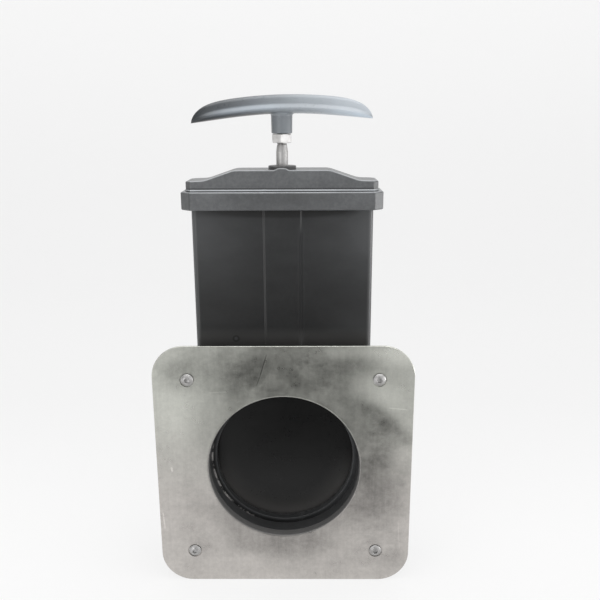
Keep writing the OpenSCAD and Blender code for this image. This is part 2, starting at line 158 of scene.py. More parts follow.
class Graph:
    """Adds nodes to a shader tree or a geometry tree."""

    def __init__(self, tree: bpy.types.NodeTree) -> None:
        """Keeps the tree."""
        self.tree = tree

    @classmethod
    def of(cls, owner: bpy.types.Material | bpy.types.World) -> Graph:
        """Empties a material's or a world's tree.

        Args:
            owner: The material or world.

        Returns:
            Its graph.
        """
        owner.use_nodes = True
        owner.node_tree.nodes.clear()
        return cls(owner.node_tree)

    def node(self, kind: str, settings: dict | None = None,
             sockets: dict | None = None) -> bpy.types.Node:
        """Adds a node, sets it up and then fills its inputs.

        Args:
            kind: The node's type.
            settings: Properties to set first.
            sockets: Input name or index to a Wire that is linked to it or a plain value.

        Returns:
            The node.
        """
        node = self.tree.nodes.new(kind)
        for name, value in (settings or {}).items():
            setattr(node, name, value)
        for name, value in (sockets or {}).items():
            if isinstance(value, Wire):
                self.tree.links.new(value.socket, node.inputs[name])
            else:
                node.inputs[name].default_value = value
        return node

    def add(self, kind: str, settings: dict | None = None, sockets: dict | None = None,
            output: str | int = 0) -> Wire:
        """Adds a node as `node` does and returns one of its outputs.

        Args:
            kind: The node's type.
            settings: Properties to set first.
            sockets: Input name or index to a Wire or a plain value.
            output: The output's name or index.

        Returns:
            That output.
        """
        return Wire(self, self.node(kind, settings, sockets).outputs[output])

    def split(self, vector: Wire) -> list[Wire]:
        """X, Y and Z of a vector."""
        parts = self.node("ShaderNodeSeparateXYZ", None, {0: vector})
        return [Wire(self, part) for part in parts.outputs]

    def noise(self, vector: Wire, scale: float, detail: float = 2.0,
              roughness: float = 0.5) -> Wire:
        """Noise about 0.5.

        Args:
            vector: Where it is read.
            scale: Features per metre.
            detail: Octaves.
            roughness: Weight of the finer octaves.

        Returns:
            The noise's value.
        """
        return self.add("ShaderNodeTexNoise", None,
                        {"Vector": vector, "Scale": scale, "Detail": detail,
                         "Roughness": roughness})

    def mix(self, share: Number, first: Colour | Wire, second: Colour | Wire,
            blend: str = "MIX") -> Wire:
        """Mixes two colours.

        Args:
            share: Weight of the second colour.
            first: A colour, or a Wire that holds one or a level of grey.
            second: The same.
            blend: The blend type.

        Returns:
            The mixed colour.
        """
        return self.add("ShaderNodeMix", {"data_type": "RGBA", "blend_type": blend},
                        {0: share, 6: first, 7: second}, output=2)

    def stretch(self, vector: Wire, scale: Place, shift: Place = (0.0, 0.0, 0.0)) -> Wire:
        """Scales a vector with a Mapping node and then shifts it.

        Args:
            vector: The vector.
            scale: Factor along each axis.
            shift: Added to the place.

        Returns:
            The mapped vector.
        """
        return self.add("ShaderNodeMapping", None,
                        {"Vector": vector, "Scale": scale, "Location": shift})

    def surface(self, colour: Wire, roughness: Wire, height: Wire, strength: float,
                depth: float, more: dict | None = None) -> Wire:
        """Adds a Principled shader with a fine relief.

        Args:
            colour: Base colour.
            roughness: Roughness.
            height: The relief.
            strength: Strength of the relief.
            depth: Depth of the relief in millimetres.
            more: Further inputs of the shader.

        Returns:
            The shader.
        """
        bump = self.add("ShaderNodeBump", None,
                        {"Strength": strength, "Distance": depth * MM, "Height": height})
        return self.add("ShaderNodeBsdfPrincipled", None,
                        {"Base Color": colour, "Roughness": roughness, "Normal": bump,
                         **(more or {})})


class Spot:
    """A place on a piece, split into millimetres across, along and up."""

    def __init__(self, graph: Graph, here: Wire) -> None:
        """Splits object coordinates.

        Args:
            graph: The material's graph.
            here: Object coordinates.
        """
        self.graph = graph
        self.here = here
        self.across, self.along, self.up = graph.split(graph.stretch(here, (1 / MM,) * 3))

    def away(self, x: float = 0.0, z: float = 0.0) -> Wire:
        """Distance, seen along the waterway, from x and z."""
        across, up = self.across - x, self.up - z
        return (across * across + up * up) ** 0.5

    def broken(self, start: float, end: float) -> Wire:
        """Patches that break a line of silt up; larger limits leave less of it."""
        return self.graph.noise(self.here, 190.0, 3.0, 0.6).step_up(start, end)


# ------------------------------------------------------------------ finishes


def grey(level: float, warmth: float = 0.0) -> Colour:
    """A linear grey, with a share `warmth` moved from blue to red; negative is colder."""
    return (level * (1.0 + warmth), level, level * (1.0 - warmth), 1.0)


@dataclass(frozen=True)
class Finish:
    """A surface finish on one material slot of the record."""

    slot: str
    grade: str = field(default="finish", kw_only=True)

    def material(self) -> bpy.types.Material:
        """Builds the material once.

        Returns:
            The material, the same one each time.
        """
        name = f"{self.slot}_{self.grade}"
        made = bpy.data.materials.get(name)
        if made is None:
            made = bpy.data.materials.new(name)
            graph = Graph.of(made)
            here = graph.add("ShaderNodeTexCoord", output="Object")
            graph.node("ShaderNodeOutputMaterial", None, {"Surface": self.shade(graph, here)})
        return made

    def shade(self, graph: Graph, here: Wire) -> Wire:
        """Adds the finish's shader.

        Args:
            graph: The material's graph.
            here: Object coordinates.

        Returns:
            The shader.
        """
        raise NotImplementedError


@dataclass(frozen=True)
class Scratch:
    """A straight scratch on the plate's face, bright if its depth is below 0."""

    start: Point
    end: Point
    width: float
    depth: float

    def cover(self, spot: Spot) -> Wire:
        """How deep the scratch is at each place.

        Args:
            spot: The place.

        Returns:
            Depth, 0 away from it.
        """
        run = Vector(self.end) - Vector(self.start)
        along = run.normalized()
        x = spot.across - self.start[0]
        z = spot.up - self.start[1]
        forth = x * along.x + z * along.y
        aside = abs(x * along.y - z * along.x)
        inside = forth.step_up(-0.5, 2.0) * forth.step_up(run.length + 0.5, run.length - 2.0)
        return inside * aside.step_up(self.width, 0.1 * self.width) * self.depth


@dataclass(frozen=True)
class SmudgeAndReflection:
    """A soft, ragged oval cloud on the plate's face, partly a smudge and partly a painted
    reflection; bright if its depth is below 0.
    """

    centre: Point
    reach: Point
    lean: float
    depth: float

    def cover(self, spot: Spot, ragged: Wire) -> Wire:
        """How dark the cloud is at each place.

        Args:
            spot: The place.
            ragged: How far its edge strays, about 0.

        Returns:
            Depth, 0 away from it.
        """
        cos, sin = math.cos(math.radians(self.lean)), math.sin(math.radians(self.lean))
        x = spot.across - self.centre[0]
        z = spot.up - self.centre[1]
        long = (x * cos + z * sin) / self.reach[0]
        short = (z * cos - x * sin) / self.reach[1]
        away = (long * long + short * short) ** 0.5 + ragged
        return away.step_up(1.7, 0.1) * self.depth


@dataclass(frozen=True)
class SheetSteel(Finish):
    """Dull stainless sheet with clouds, smudges with painted reflections, fine upright streaks and
    scratches.
    """

    level: float = 0.50
    roughness: float = 0.32
    stain: float = 0.30
    collar_level: float = 0.14
    # Smudges, partly painted reflections of the dark and bright surroundings.
    smudges_and_reflections: tuple[SmudgeAndReflection, ...] = (
        SmudgeAndReflection((-56.0, 78.0), (32.0, 15.0), -6.0, 0.30),
        SmudgeAndReflection((-26.0, 70.0), (13.0, 17.0), -20.0, 0.26),
        SmudgeAndReflection((-82.0, 76.0), (14.0, 10.0), 0.0, 0.14),
        SmudgeAndReflection((-63.0, 34.0), (9.0, 16.0), 0.0, 0.14),
        SmudgeAndReflection((78.0, 18.0), (14.0, 14.0), 0.0, 0.15),
        SmudgeAndReflection((-12.0, 90.0), (30.0, 6.0), 0.0, 0.08),
        SmudgeAndReflection((30.0, 92.0), (34.0, 4.5), 0.0, -0.30),
        SmudgeAndReflection((42.0, 77.0), (24.0, 10.0), 14.0, 0.42),
        SmudgeAndReflection((60.0, 34.0), (14.0, 30.0), 10.0, 0.24),
        SmudgeAndReflection((84.0, 31.0), (25.0, 7.0), -42.0, 0.42),
        SmudgeAndReflection((68.0, 62.0), (20.0, 9.0), -30.0, -0.34),
        SmudgeAndReflection((84.0, 90.0), (18.0, 7.0), 0.0, -0.34),
        SmudgeAndReflection((-76.0, 44.0), (17.0, 20.0), 10.0, -0.20),
        SmudgeAndReflection((-72.0, -32.0), (9.0, 34.0), 6.0, 0.10),
        SmudgeAndReflection((72.0, -18.0), (22.0, 32.0), 0.0, 0.42),
        SmudgeAndReflection((86.0, -80.0), (13.0, 9.0), 20.0, 0.12),
        SmudgeAndReflection((-24.0, -66.0), (42.0, 13.0), 0.0, 0.12),
        SmudgeAndReflection((20.0, -76.0), (70.0, 16.0), 4.0, 0.10),
    )
    scratches: tuple[Scratch, ...] = (
        Scratch((-11.8, 91.0), (-17.0, 74.0), 0.8, 0.42),
        Scratch((-16.6, 75.0), (-20.0, 66.0), 0.6, 0.28),
        Scratch((-11.0, 91.0), (-16.2, 74.0), 0.5, -0.16),
        Scratch((-56.0, 61.0), (-40.0, 62.0), 0.6, -0.20),
        Scratch((78.0, 49.0), (93.0, 47.5), 0.7, -0.22),
        Scratch((-94.6, -37.0), (-93.6, -52.0), 0.9, -0.30),
        Scratch((-86.0, 1.5), (-85.4, -3.5), 1.2, -0.35),
        Scratch((23.0, -89.5), (25.0, -93.0), 0.6, 0.20),
        Scratch((88.0, -44.0), (90.0, -70.0), 0.5, -0.12),
    )

    def shade(self, graph: Graph, here: Wire) -> Wire:
        """Adds the sheet's shader.

        Args:
            graph: The material's graph.
            here: Object coordinates.

        Returns:
            The shader.
        """
        spot = Spot(graph, here)
        clouds = graph.noise(here, 17.0, 3.0, 0.55) - 0.5
        blotches = graph.noise(graph.stretch(here, (1.0, 1.0, 1.4), (0.3, 0.0, 0.1)),
                               60.0, 4.0, 0.6) - 0.5
        mottle = graph.noise(here, 260.0, 3.0, 0.7) - 0.5
        streaks = graph.noise(graph.stretch(here, (420.0, 1.0, 12.0)), 1.0, 3.0, 0.6) - 0.5
        grain = graph.noise(here, 1100.0, 2.0, 0.6) - 0.5
        ragged = 1.3 * clouds + 0.9 * blotches
        wear = sum(mark.cover(spot) for mark in self.scratches)
        tone = (1.0 + 0.34 * clouds + 0.30 * blotches + 0.40 * mottle + 0.15 * streaks
                + 0.16 * grain - sum(mark.cover(spot, ragged) for mark in self.smudges_and_reflections) - wear)
        stained = spot.away().step_up(86.0, 60.0) * spot.up.step_up(-14.0, -42.0)
        tone = tone - self.stain * stained
        tint = graph.mix(spot.up.step_up(60.0, -40.0),
                         (self.level, 1.01 * self.level, 0.93 * self.level, 1.0),
                         grey(self.level, 0.05))
        inside = spot.away().step_up(58.4, 57.7)
        colour = graph.mix(inside, graph.mix(1.0, tint, tone, "MULTIPLY"),
                           grey(self.collar_level, 0.02))
        rough = (self.roughness + 0.20 * clouds + 0.20 * blotches + 0.12 * mottle + 0.1 * wear
                 + 0.25 * inside)
        height = 0.5 * streaks + 0.5 * grain + 0.3 * mottle - 1.2 * wear
        return graph.surface(colour, rough, height, 0.16, 0.08,
                             {"Metallic": 1.0 - 0.85 * inside})


@dataclass(frozen=True)
class BrightSteel(Finish):
    """Turned or drawn stainless steel with fine lathe lines."""

    level: float
    roughness: float
    line_scale: float = 1800.0

    def shade(self, graph: Graph, here: Wire) -> Wire:
        """Adds the steel's shader.

        Args:
            graph: The material's graph.
            here: Object coordinates.

        Returns:
            The shader.
        """
        lines = graph.noise(graph.stretch(here, (40.0, 40.0, self.line_scale)), 1.0, 3.0, 0.7)
        dull = graph.noise(here, 160.0, 3.0, 0.6)
        colour = graph.mix(dull.step_up(0.35, 0.7), grey(self.level, 0.01),
                           grey(0.78 * self.level, 0.02))
        rough = self.roughness + 0.14 * (dull - 0.5) + 0.12 * (lines - 0.5)
        return graph.surface(colour, rough, lines, 0.25, 0.03, {"Metallic": 1.0})


@dataclass(frozen=True)
class SealRubber(Finish):
    """Matt black rubber with a soft bloom."""

    level: float = 0.03

    def shade(self, graph: Graph, here: Wire) -> Wire:
        """Adds the rubber's shader.

        Args:
            graph: The material's graph.
            here: Object coordinates.

        Returns:
            The shader.
        """
        bloom = graph.noise(here, 320.0, 4.0, 0.65)
        colour = graph.mix(bloom.step_up(0.4, 0.75), grey(self.level), grey(2.4 * self.level))
        return graph.surface(colour, 0.62 + 0.2 * (bloom - 0.5), bloom, 0.3, 0.05)


@dataclass(frozen=True)
class MouldedPlastic(Finish):
    """Satin moulded plastic with a fine grain, flow marks and a little dust."""

    level: float
    warmth: float
    roughness: float
    grain: float = 0.35
    mottle: float = 0.25
    gloss: float = field(default=0.5, kw_only=True)
    dust: float = field(default=0.04, kw_only=True)

    def shade(self, graph: Graph, here: Wire) -> Wire:
        """Adds the plastic's shader.

        Args:
            graph: The material's graph.
            here: Object coordinates.

        Returns:
            The shader.
        """
        spot = Spot(graph, here)
        grain = graph.noise(here, 2600.0, 2.0, 0.6)
        flow = graph.noise(graph.stretch(here, (1.0, 1.0, 2.6)), 34.0, 4.0, 0.6)
        patches = graph.noise(here, 420.0, 4.0, 0.7)
        specks = graph.noise(here, 5200.0, 1.0).step_up(0.70, 0.78)
        base = graph.mix((0.5 * flow + 0.5 * patches).step_up(0.3, 0.7),
                         grey(self.level * (1.0 - self.mottle), self.warmth),
                         grey(self.level * (1.0 + self.mottle), self.warmth))
        colour = graph.mix(specks * self.dust, self.aged_and_lit(spot, base, flow), grey(0.5, 0.02))
        rough = (self.roughness + 0.14 * (patches - 0.5) + 0.10 * (flow - 0.5)
                 + self.matted(spot))
        return graph.surface(self.painted_light(spot, colour), rough,
                             self.grain * grain + 0.25 * patches, 0.30, 0.04,
                             {"Specular IOR Level": self.gloss})

    @property
    def painted_shade(self) -> Colour:
        """Colour of the plastic where shade is painted on it."""
        return grey(0.2 * self.level)

    def aged_and_lit(self, spot: Spot, base: Wire, flow: Wire) -> Wire:
        """The plastic's colour with the marks and painted light that lie under its dust.

        Args:
            spot: The place.
            base: The plastic's colour.
            flow: Flow marks about 0.5.

        Returns:
            The marked colour, here unchanged.
        """
        return base

    def matted(self, spot: Spot) -> Number:
        """Roughness that dirt adds, here none."""
        return 0.0

    def painted_light(self, spot: Spot, colour: Wire) -> Wire:
        """The colour with the painted light over its dust, here unchanged."""
        return colour


@dataclass(frozen=True)
class HousingPlastic(MouldedPlastic):
    """The body's plastic: painted sheen, shadow, light and edge highlights, and an ejector mark."""

    # Level of the painted sheen's colour.
    bloom: float = 0.055
    mark: Point = (-35.6, 97.2)
    strip_side: float = 13.4

    def aged_and_lit(self, spot: Spot, base: Wire, flow: Wire) -> Wire:
        """Adds the painted sheen, shadow, light and highlights, and the marks.

        Args:
            spot: The place.
            base: The plastic's colour.
            flow: Flow marks about 0.5.

        Returns:
            The marked colour.
        """
        graph, across, up = spot.graph, spot.across, spot.up
        # Painted sheen where the share is above 0, and painted shadow under the collar where it is
        # below 0.
        sheen_and_shadow = self.painted_sheen_and_shadow(spot, flow)
        base = graph.mix(sheen_and_shadow.at_least(0.0), base, grey(self.bloom, -0.04))
        base = graph.mix((-sheen_and_shadow).at_least(0.0), base, self.painted_shade)
        # Painted light on the housing's foot, where the plate shades it.
        foot = up.step_up(107.0, 97.0) * up.step_up(76.0, 80.0)
        base = graph.mix(foot, base, grey(0.050, 0.02))
        # Painted highlights on the housing's side edges and in its upper right corner.
        edge = abs(across).step_up(61.0, 64.5) * up.step_up(80.0, 90.0)
        corner = across.step_up(48.0, 64.0) * up.step_up(150.0, 185.0)
        base = graph.mix(0.45 * edge + 0.35 * corner, base, grey(0.11, -0.03))
        front = spot.along.step_up(30.0, 24.0)
        radius = spot.away()
        ring = radius.step_up(56.0, 56.6) * radius.step_up(59.0, 58.0)
        lower = up.step_up(14.0, 4.0) * across.step_up(-18.0, -34.0)
        base = graph.mix(ring * lower * spot.broken(0.42, 0.56) * front, base, grey(0.32, 0.03))
        away = spot.away(*self.mark)
        base = graph.mix(0.6 * away.step_up(3.0, 2.2) * front, base, grey(0.004))
        return graph.mix(0.6 * away.step_up(1.9, 0.7) * front, base, grey(0.10, -0.02))

    @staticmethod
    def painted_sheen_and_shadow(spot: Spot, flow: Wire) -> Wire:
        """Share of painted sheen, strongest at the housing's sides and high up under its top.

        Args:
            spot: The place.
            flow: Flow marks about 0.5.

        Returns:
            The share, below 0 where shadow is painted under the collar.
        """
        across, up = spot.across, spot.up
        side = abs(across).step_up(10.0, 80.0)
        high = up.step_up(115.0, 190.0)
        shaded = up.step_up(186.0, 192.5) * (1.2 - side)
        waterway = spot.away().step_up(55.6, 54.5)
        # Painted sheen: at the sides, high up, at the lower right, in the upper right corner and
        # round the waterway.
        bloom = (high * (0.35 + 0.9 * side) + (0.05 + 0.002 * across) * side
                 + 0.35 * across.step_up(15.0, 55.0) * up.step_up(130.0, 98.0)
                 + 0.45 * across.step_up(40.0, 64.0) * up.step_up(150.0, 190.0))
        return (bloom + 0.6 * waterway) * (0.7 + 0.6 * flow) - 1.3 * shaded

    def matted(self, spot: Spot) -> Number:
        """Roughness that dirt adds along the right side of the middle strip."""
        crease = abs(spot.across - self.strip_side).step_up(2.2, 1.2)
        return 0.5 * crease * spot.up.step_up(186.0, 172.0)


@dataclass(frozen=True)
class FlangePlastic(MouldedPlastic):
    """The flanges' plastic, with silt and scale at the lower left of the front socket."""

    silt: float = 0.45

    def aged_and_lit(self, spot: Spot, base: Wire, flow: Wire) -> Wire:
        """Adds the silt.

        Args:
            spot: The place.
            base: The plastic's colour.
            flow: Flow marks about 0.5.

        Returns:
            The marked colour.
        """
        socket = spot.away().step_up(60.0, 58.5)
        foot = spot.along.step_up(18.5, 19.5) * spot.along.step_up(23.0, 21.5)
        low = spot.up.step_up(12.0, 2.0) * spot.across.step_up(-20.0, -36.0)
        share = socket * foot * low * spot.broken(0.44, 0.62)
        return spot.graph.mix(share, base, grey(self.silt, 0.04))


@dataclass(frozen=True)
class GatePlastic(MouldedPlastic):
    """The gate's plastic, lighter along the lower rim of the waterway: sediment, and painted light
    against the walls' shade.
    """

    sediment_and_painted_light: float = 0.075

    def aged_and_lit(self, spot: Spot, base: Wire, flow: Wire) -> Wire:
        """Adds the sediment and the painted light.

        Args:
            spot: The place.
            base: The plastic's colour.
            flow: Flow marks about 0.5.

        Returns:
            The marked colour.
        """
        # Lighter towards the lower rim: settled sediment, and painted light against the shade of
        # the waterway's walls.
        rim = spot.away().step_up(30.0, 56.0)
        share = rim * rim * spot.up.step_up(6.0, -32.0)
        return spot.graph.mix(share, base, grey(self.sediment_and_painted_light, 0.03))


@dataclass(frozen=True)
class PaintedLightPlastic(MouldedPlastic):
    """Plastic with painted highlights and painted shade where the mesh's painted-light attribute
    says so.
    """

    highlight_level: float = field(kw_only=True)

    def painted_light(self, spot: Spot, colour: Wire) -> Wire:
        """Adds the painted highlights and shade.

        Args:
            spot: The place.
            colour: The plastic's colour.

        Returns:
            The colour with painted light.
        """
        graph = spot.graph
        wear = graph.add("ShaderNodeAttribute", {"attribute_name": PAINTED_LIGHT_ATTRIBUTE}, output="Fac")
        patchy = graph.noise(graph.stretch(spot.here, (1.0, 1.0, 0.3)), 22.0, 3.0, 0.7)
        # Painted highlights where the attribute is above 0, painted shade where it is below 0.
        painted_highlight = wear.at_least(0.0) * (0.35 + 1.1 * patchy)
        colour = graph.mix(painted_highlight.at_most(1.0), colour, grey(self.highlight_level, self.warmth))
        return graph.mix((-wear).at_least(0.0), colour, self.painted_shade)


@dataclass(frozen=True)
class CapPlastic(PaintedLightPlastic):
    """The cap's and the collar's plastic, also darker in the middle, with painted shade at the left
    corner.
    """

    corner_x: float = -65.3

    def painted_light(self, spot: Spot, colour: Wire) -> Wire:
        """Adds the painted light, the darkening in the middle and the painted shade at the left
        corner.

        Args:
            spot: The place.
            colour: The plastic's colour.

        Returns:
            The colour with painted light and shade.
        """
        across = spot.across
        # Darker in the middle below 205 mm; painted shade on the left corner's chamfer and along
        # its seam.
        middle = abs(across).step_up(55.0, 15.0) * spot.up.step_up(205.0, 204.2)
        corner = across.step_up(self.corner_x + 0.3, self.corner_x - 0.3)
        seam = abs(across - self.corner_x).step_up(0.7, 0.3)
        shade_and_darkening = (0.30 * middle + 0.28 * corner + 0.30 * seam).at_most(1.0)
        return spot.graph.mix(shade_and_darkening, super().painted_light(spot, colour), self.painted_shade)


@dataclass(frozen=True)
class GripPlastic(PaintedLightPlastic):
    """The handle's plastic, with light painted on more and more towards its right end."""

    right_light_level: float = 0.61

    def aged_and_lit(self, spot: Spot, base: Wire, flow: Wire) -> Wire:
        """Adds the painted light from the right, which the stem has less of.

        Args:
            spot: The place.
            base: The plastic's colour.
            flow: Flow marks about 0.5.

        Returns:
            The colour with painted light.
        """
        stem = spot.up.step_up(259.2, 256.5)
        cloud = spot.graph.noise(spot.here, 60.0, 3.0, 0.6) - 0.5
        # Painted light that grows towards the right end, where light falls on the handle.
        share = (spot.across + 20.0 * cloud).step_up(-74.0, 75.0) * (1.0 - 0.32 * stem)
        return spot.graph.mix(share, base, grey(self.right_light_level, 0.6 * self.warmth))


class Dress(Enum):
    """The finish of each material slot."""

    PLATE = SheetSteel("plate_steel")
    BODY = HousingPlastic("body_black", 0.009, -0.03, 0.38)
    FLANGE = FlangePlastic("flange_black", 0.045, -0.02, 0.45)
    CAP = CapPlastic("cap_grey", 0.130, -0.035, 0.34, 0.5, 0.22, highlight_level=0.75)
    PADDLE = GatePlastic("gate_black", 0.005, -0.01, 0.30, 0.15, 0.05, gloss=0.32)
    RUBBER = SealRubber("seal_rubber")
    BUSHING = MouldedPlastic("bushing_black", 0.110, 0.0, 0.42)
    FASTENER = BrightSteel("fastener_steel", 0.46, 0.44, 900.0)
    # The nut has the shaft's steel, painted lighter: a painted reflection of the bright
    # surroundings.
    LIT_NUT = BrightSteel("shaft_steel", 0.83, 0.38, 900.0, grade="nut")
    SHAFT = BrightSteel("shaft_steel", 0.51, 0.50)
    HANDLE = GripPlastic("handle_plastic", 0.031, -0.13, 0.30, 0.12, 0.10, highlight_level=0.85)


# -------------------------------------------------------------------- meshes


def arc(centre: Point, radius: float, start: float, end: float, steps: int) -> list[Point]:
    """Points on an arc, both ends included.

    Args:
        centre: The arc's centre.
        radius: Its radius.
        start: First angle in degrees.
        end: Last angle in degrees.
        steps: Number of steps between them.

    Returns:
        The points.
    """
    angles = [math.radians(start + (end - start) * i / steps) for i in range(steps + 1)]
    return [(centre[0] + radius * math.cos(a), centre[1] + radius * math.sin(a))
            for a in angles]


def edge_round(radius: float, steps: int) -> list[Point]:
    """Rounding of an edge, as (inset, depth) from its face to its side."""
    return arc((radius, radius), radius, 270.0, 180.0, steps)


@dataclass
class RoundedOutline:
    """Rectangle with round corners, centred on the origin."""

    width: float
    height: float
    corner_r: float
    steps: int = 16

    def points(self, inset: float) -> list[Point]:
        """Points of the rectangle.

        Args:
            inset: How far it is drawn in.

        Returns:
            The points in order.
        """
        x = self.width / 2 - self.corner_r
        y = self.height / 2 - self.corner_r
        row: list[Point] = []
        for quarter, centre in enumerate(((x, y), (-x, y), (-x, -y), (x, -y))):
            row += arc(centre, self.corner_r - inset, 90.0 * quarter, 90.0 * (quarter + 1),
                       self.steps)
        return row


@dataclass
class HoleOutline:
    """Round hole."""

    radius: float
    centre: Point = (0.0, 0.0)
    steps: int = 144

    def points(self, inset: float) -> list[Point]:
        """Points of the hole, widened by `inset`."""
        return arc(self.centre, self.radius + inset, 0.0, 360.0, self.steps)[:-1]


def placed(name: str, data: bpy.types.ID) -> bpy.types.Object:
    """Makes an object and links it into the scene.

    Args:
        name: Its name.
        data: Its mesh, lamp or camera.

    Returns:
        The object.
    """
    thing = bpy.data.objects.new(name, data)
    bpy.context.scene.collection.objects.link(thing)
    return thing


def evaluated(holder: bpy.types.Object) -> bpy.types.Mesh:
    """Applies an object's modifiers and removes the object with its own mesh.

    Args:
        holder: The object.

    Returns:
        The finished mesh.
    """
    depsgraph = bpy.context.evaluated_depsgraph_get()
    made = bpy.data.meshes.new_from_object(holder.evaluated_get(depsgraph))
    discard(holder)
    return made


def discard(holder: bpy.types.Object) -> None:
    """Removes an object and its mesh.

    Args:
        holder: The object.
    """
    mesh = holder.data
    bpy.data.objects.remove(holder)
    bpy.data.meshes.remove(mesh)


class Draft:
    """A mesh in the making, in millimetres, that ends as one dressed piece."""

    def __init__(self, name: str) -> None:
        """Starts an empty mesh of that name."""
        self.name = name
        self.mesh = bmesh.new()

    def band(self, low: Sequence[bmesh.types.BMVert], high: Sequence[bmesh.types.BMVert]) -> None:
        """Joins two closed rows with faces.

        Args:
            low: The first row.
            high: The second row, of the same length.
        """
        for i in range(len(low)):
            j = (i + 1) % len(low)
            self.mesh.faces.new((low[i], low[j], high[j], high[i]))

    def loft(self, rings: Sequence[Sequence[Vector]], closed: bool = False,
             strips: bool = False, painted_light: Sequence[float] = ()) -> None:
        """Joins rings of equal length into a skin.

        Args:
            rings: The rings, each a closed row of points.
            closed: Whether the last ring joins the first; if not, both ends are filled.
            strips: Whether the last ring is filled with strips between its mirrored sides.
            painted_light: Painted light of each ring, above 0 for a painted highlight and below 0
            for painted shade; the sides and the back get less of it than the front.
        """
        layer = self.mesh.verts.layers.float.new(PAINTED_LIGHT_ATTRIBUTE) if painted_light else None
        made = [[self.mesh.verts.new(point) for point in ring] for ring in rings]
        for ring, wear in zip(made, painted_light):
            front = min(vert.co.y for vert in ring) + FRONT_BAND
            for vert in ring:
                vert[layer] = wear * (1.0 if vert.co.y < front else BACK_PAINTED_SHARE)
        for low, high in zip(made, made[1:] + made[:1] if closed else made[1:]):
            self.band(low, high)
        if closed:
            return
        self.mesh.faces.new(made[0])
        if not strips:
            self.mesh.faces.new(made[-1])
            return
        top = made[-1]
        for i in range(len(top) // 2 - 1):
            self.mesh.faces.new((top[i], top[i + 1], top[-2 - i], top[-1 - i]))

    def turn(self, profile: Sequence[Point], place: Matrix, steps: int = 96,
             closed: bool = True) -> None:
        """Turns a profile round an axis.

        Args:
            profile: Points as radius and height.
            place: Takes the Z axis to the real axis.
            steps: Steps round the turn.
            closed: Whether the profile is a closed loop clear of the axis.
        """
        turns = [2 * math.pi * i / steps for i in range(steps)]
        rings = [[place @ Vector((r * math.cos(a), r * math.sin(a), h)) for a in turns]
                 for r, h in profile]
        self.loft(rings, closed)

    def sheet(self, loops: Sequence[tuple[RoundedOutline | HoleOutline, Rim]]) -> None:
        """Adds a flat sheet in the XZ plane, with an outer rim and holes.

        Args:
            loops: Outlines with their rims; the first is the outer one. A rim is a row of
                (inset, y) from the front face to the back face.
        """
        faces: list[list[list[bmesh.types.BMVert]]] = [[], []]
        for outline, rim in loops:
            rows = [[self.mesh.verts.new((x, y, z)) for x, z in outline.points(inset)]
                    for inset, y in rim]
            for low, high in zip(rows, rows[1:]):
                self.band(low, high)
            faces[0].append(rows[0])
            faces[1].append(rows[-1])
        for rows in faces:
            flat = [vert for row in rows for vert in row]
            outlines = [[Vector((v.co.x, v.co.z, 0.0)) for v in row] for row in rows]
            for triangle in tessellate_polygon(outlines):
                self.mesh.faces.new([flat[i] for i in triangle])

    def copy_of(self, node: bpy.types.Object) -> None:
        """Takes a node's shape, welded and with its flat faces merged.

        Args:
            node: The frame's node, which is left as it is.
        """
        self.mesh.from_mesh(node.data)
        self.mesh.transform(Matrix.Scale(1 / MM, 4))
        bmesh.ops.remove_doubles(self.mesh, verts=self.mesh.verts, dist=1e-3)
        bmesh.ops.dissolve_limit(self.mesh, angle_limit=math.radians(0.6),
                                 verts=self.mesh.verts, edges=self.mesh.edges)

    def cut(self, tool: Draft) -> None:
        """Cuts another draft's shape out of this one.

        Args:
            tool: The shape that is taken away.
        """
        whole, part = (placed(draft.name, draft.plain_mesh()) for draft in (self, tool))
        modifier = whole.modifiers.new("cut", "BOOLEAN")
        modifier.operation = "DIFFERENCE"
        modifier.solver = "EXACT"
        modifier.object = part
        self.mesh = bmesh.new()
        self.add_mesh(evaluated(whole))
        discard(part)

    def add_mesh(self, mesh: bpy.types.Mesh, place: Matrix | None = None) -> None:
        """Adds a finished mesh and removes it from the file.

        Args:
            mesh: The mesh, in millimetres.
            place: Where it goes, if it isn't in place.
        """
        if place is not None:
            mesh.transform(place)
        self.mesh.from_mesh(mesh)
        bpy.data.meshes.remove(mesh)

    def plain_mesh(self, sharp: float = 35.0) -> bpy.types.Mesh:
        """Cleans the mesh, points its faces outward and smooths it.

        Args:
            sharp: Edges that turn by more degrees than this stay sharp.

        Returns:
            The mesh, in millimetres.
        """
        made = self.mesh
        bmesh.ops.remove_doubles(made, verts=made.verts, dist=1e-4)
        bmesh.ops.recalc_face_normals(made, faces=made.faces)
        limit = math.radians(sharp)
        for face in made.faces:
            face.smooth = True
        for edge in made.edges:
            edge.smooth = edge.calc_face_angle(0.0) < limit
        mesh = bpy.data.meshes.new(self.name)
        made.to_mesh(mesh)
        made.free()
        return mesh

    def finish(self, dress: Dress, body: str, *nodes: str, sharp: float = 35.0,
               soften: float = 0.0) -> None:
        """Ends the draft as a piece of the valve.

        Args:
            dress: The piece's finish.
            body: The body that it rides on.
            nodes: The frame's nodes that it replaces.
            sharp: Edges that turn by more degrees than this stay sharp.
            soften: Width in millimetres of the rounding on its sharp edges.
        """
        rough = placed(self.name, self.plain_mesh(sharp))
        if soften:
            rounding = rough.modifiers.new("rounding", "BEVEL")
            rounding.width = soften
            rounding.segments = 3
            rounding.limit_method = "ANGLE"
            rounding.angle_limit = math.radians(sharp)
            rounding.use_clamp_overlap = False
            rounding.miter_outer = "MITER_ARC"
        even = rough.modifiers.new("even_shading", "WEIGHTED_NORMAL")
        even.keep_sharp = True
        even.weight = 60
        mesh = evaluated(rough)
        mesh.name = self.name
        mesh.transform(Matrix.Scale(MM, 4))
        mesh.materials.clear()
        mesh.materials.append(dress.value.material())
        piece = placed(self.name, mesh)
        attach(piece, body)
        if nodes:
            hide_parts(*nodes)
        LOG.info("%s: %d faces on %s, for %s", self.name, len(mesh.polygons), body,
                 ", ".join(nodes) or "no node")


def moved(x: float, y: float, z: float) -> Matrix:
    """A move by x, y and z."""
    return Matrix.Translation((x, y, z))


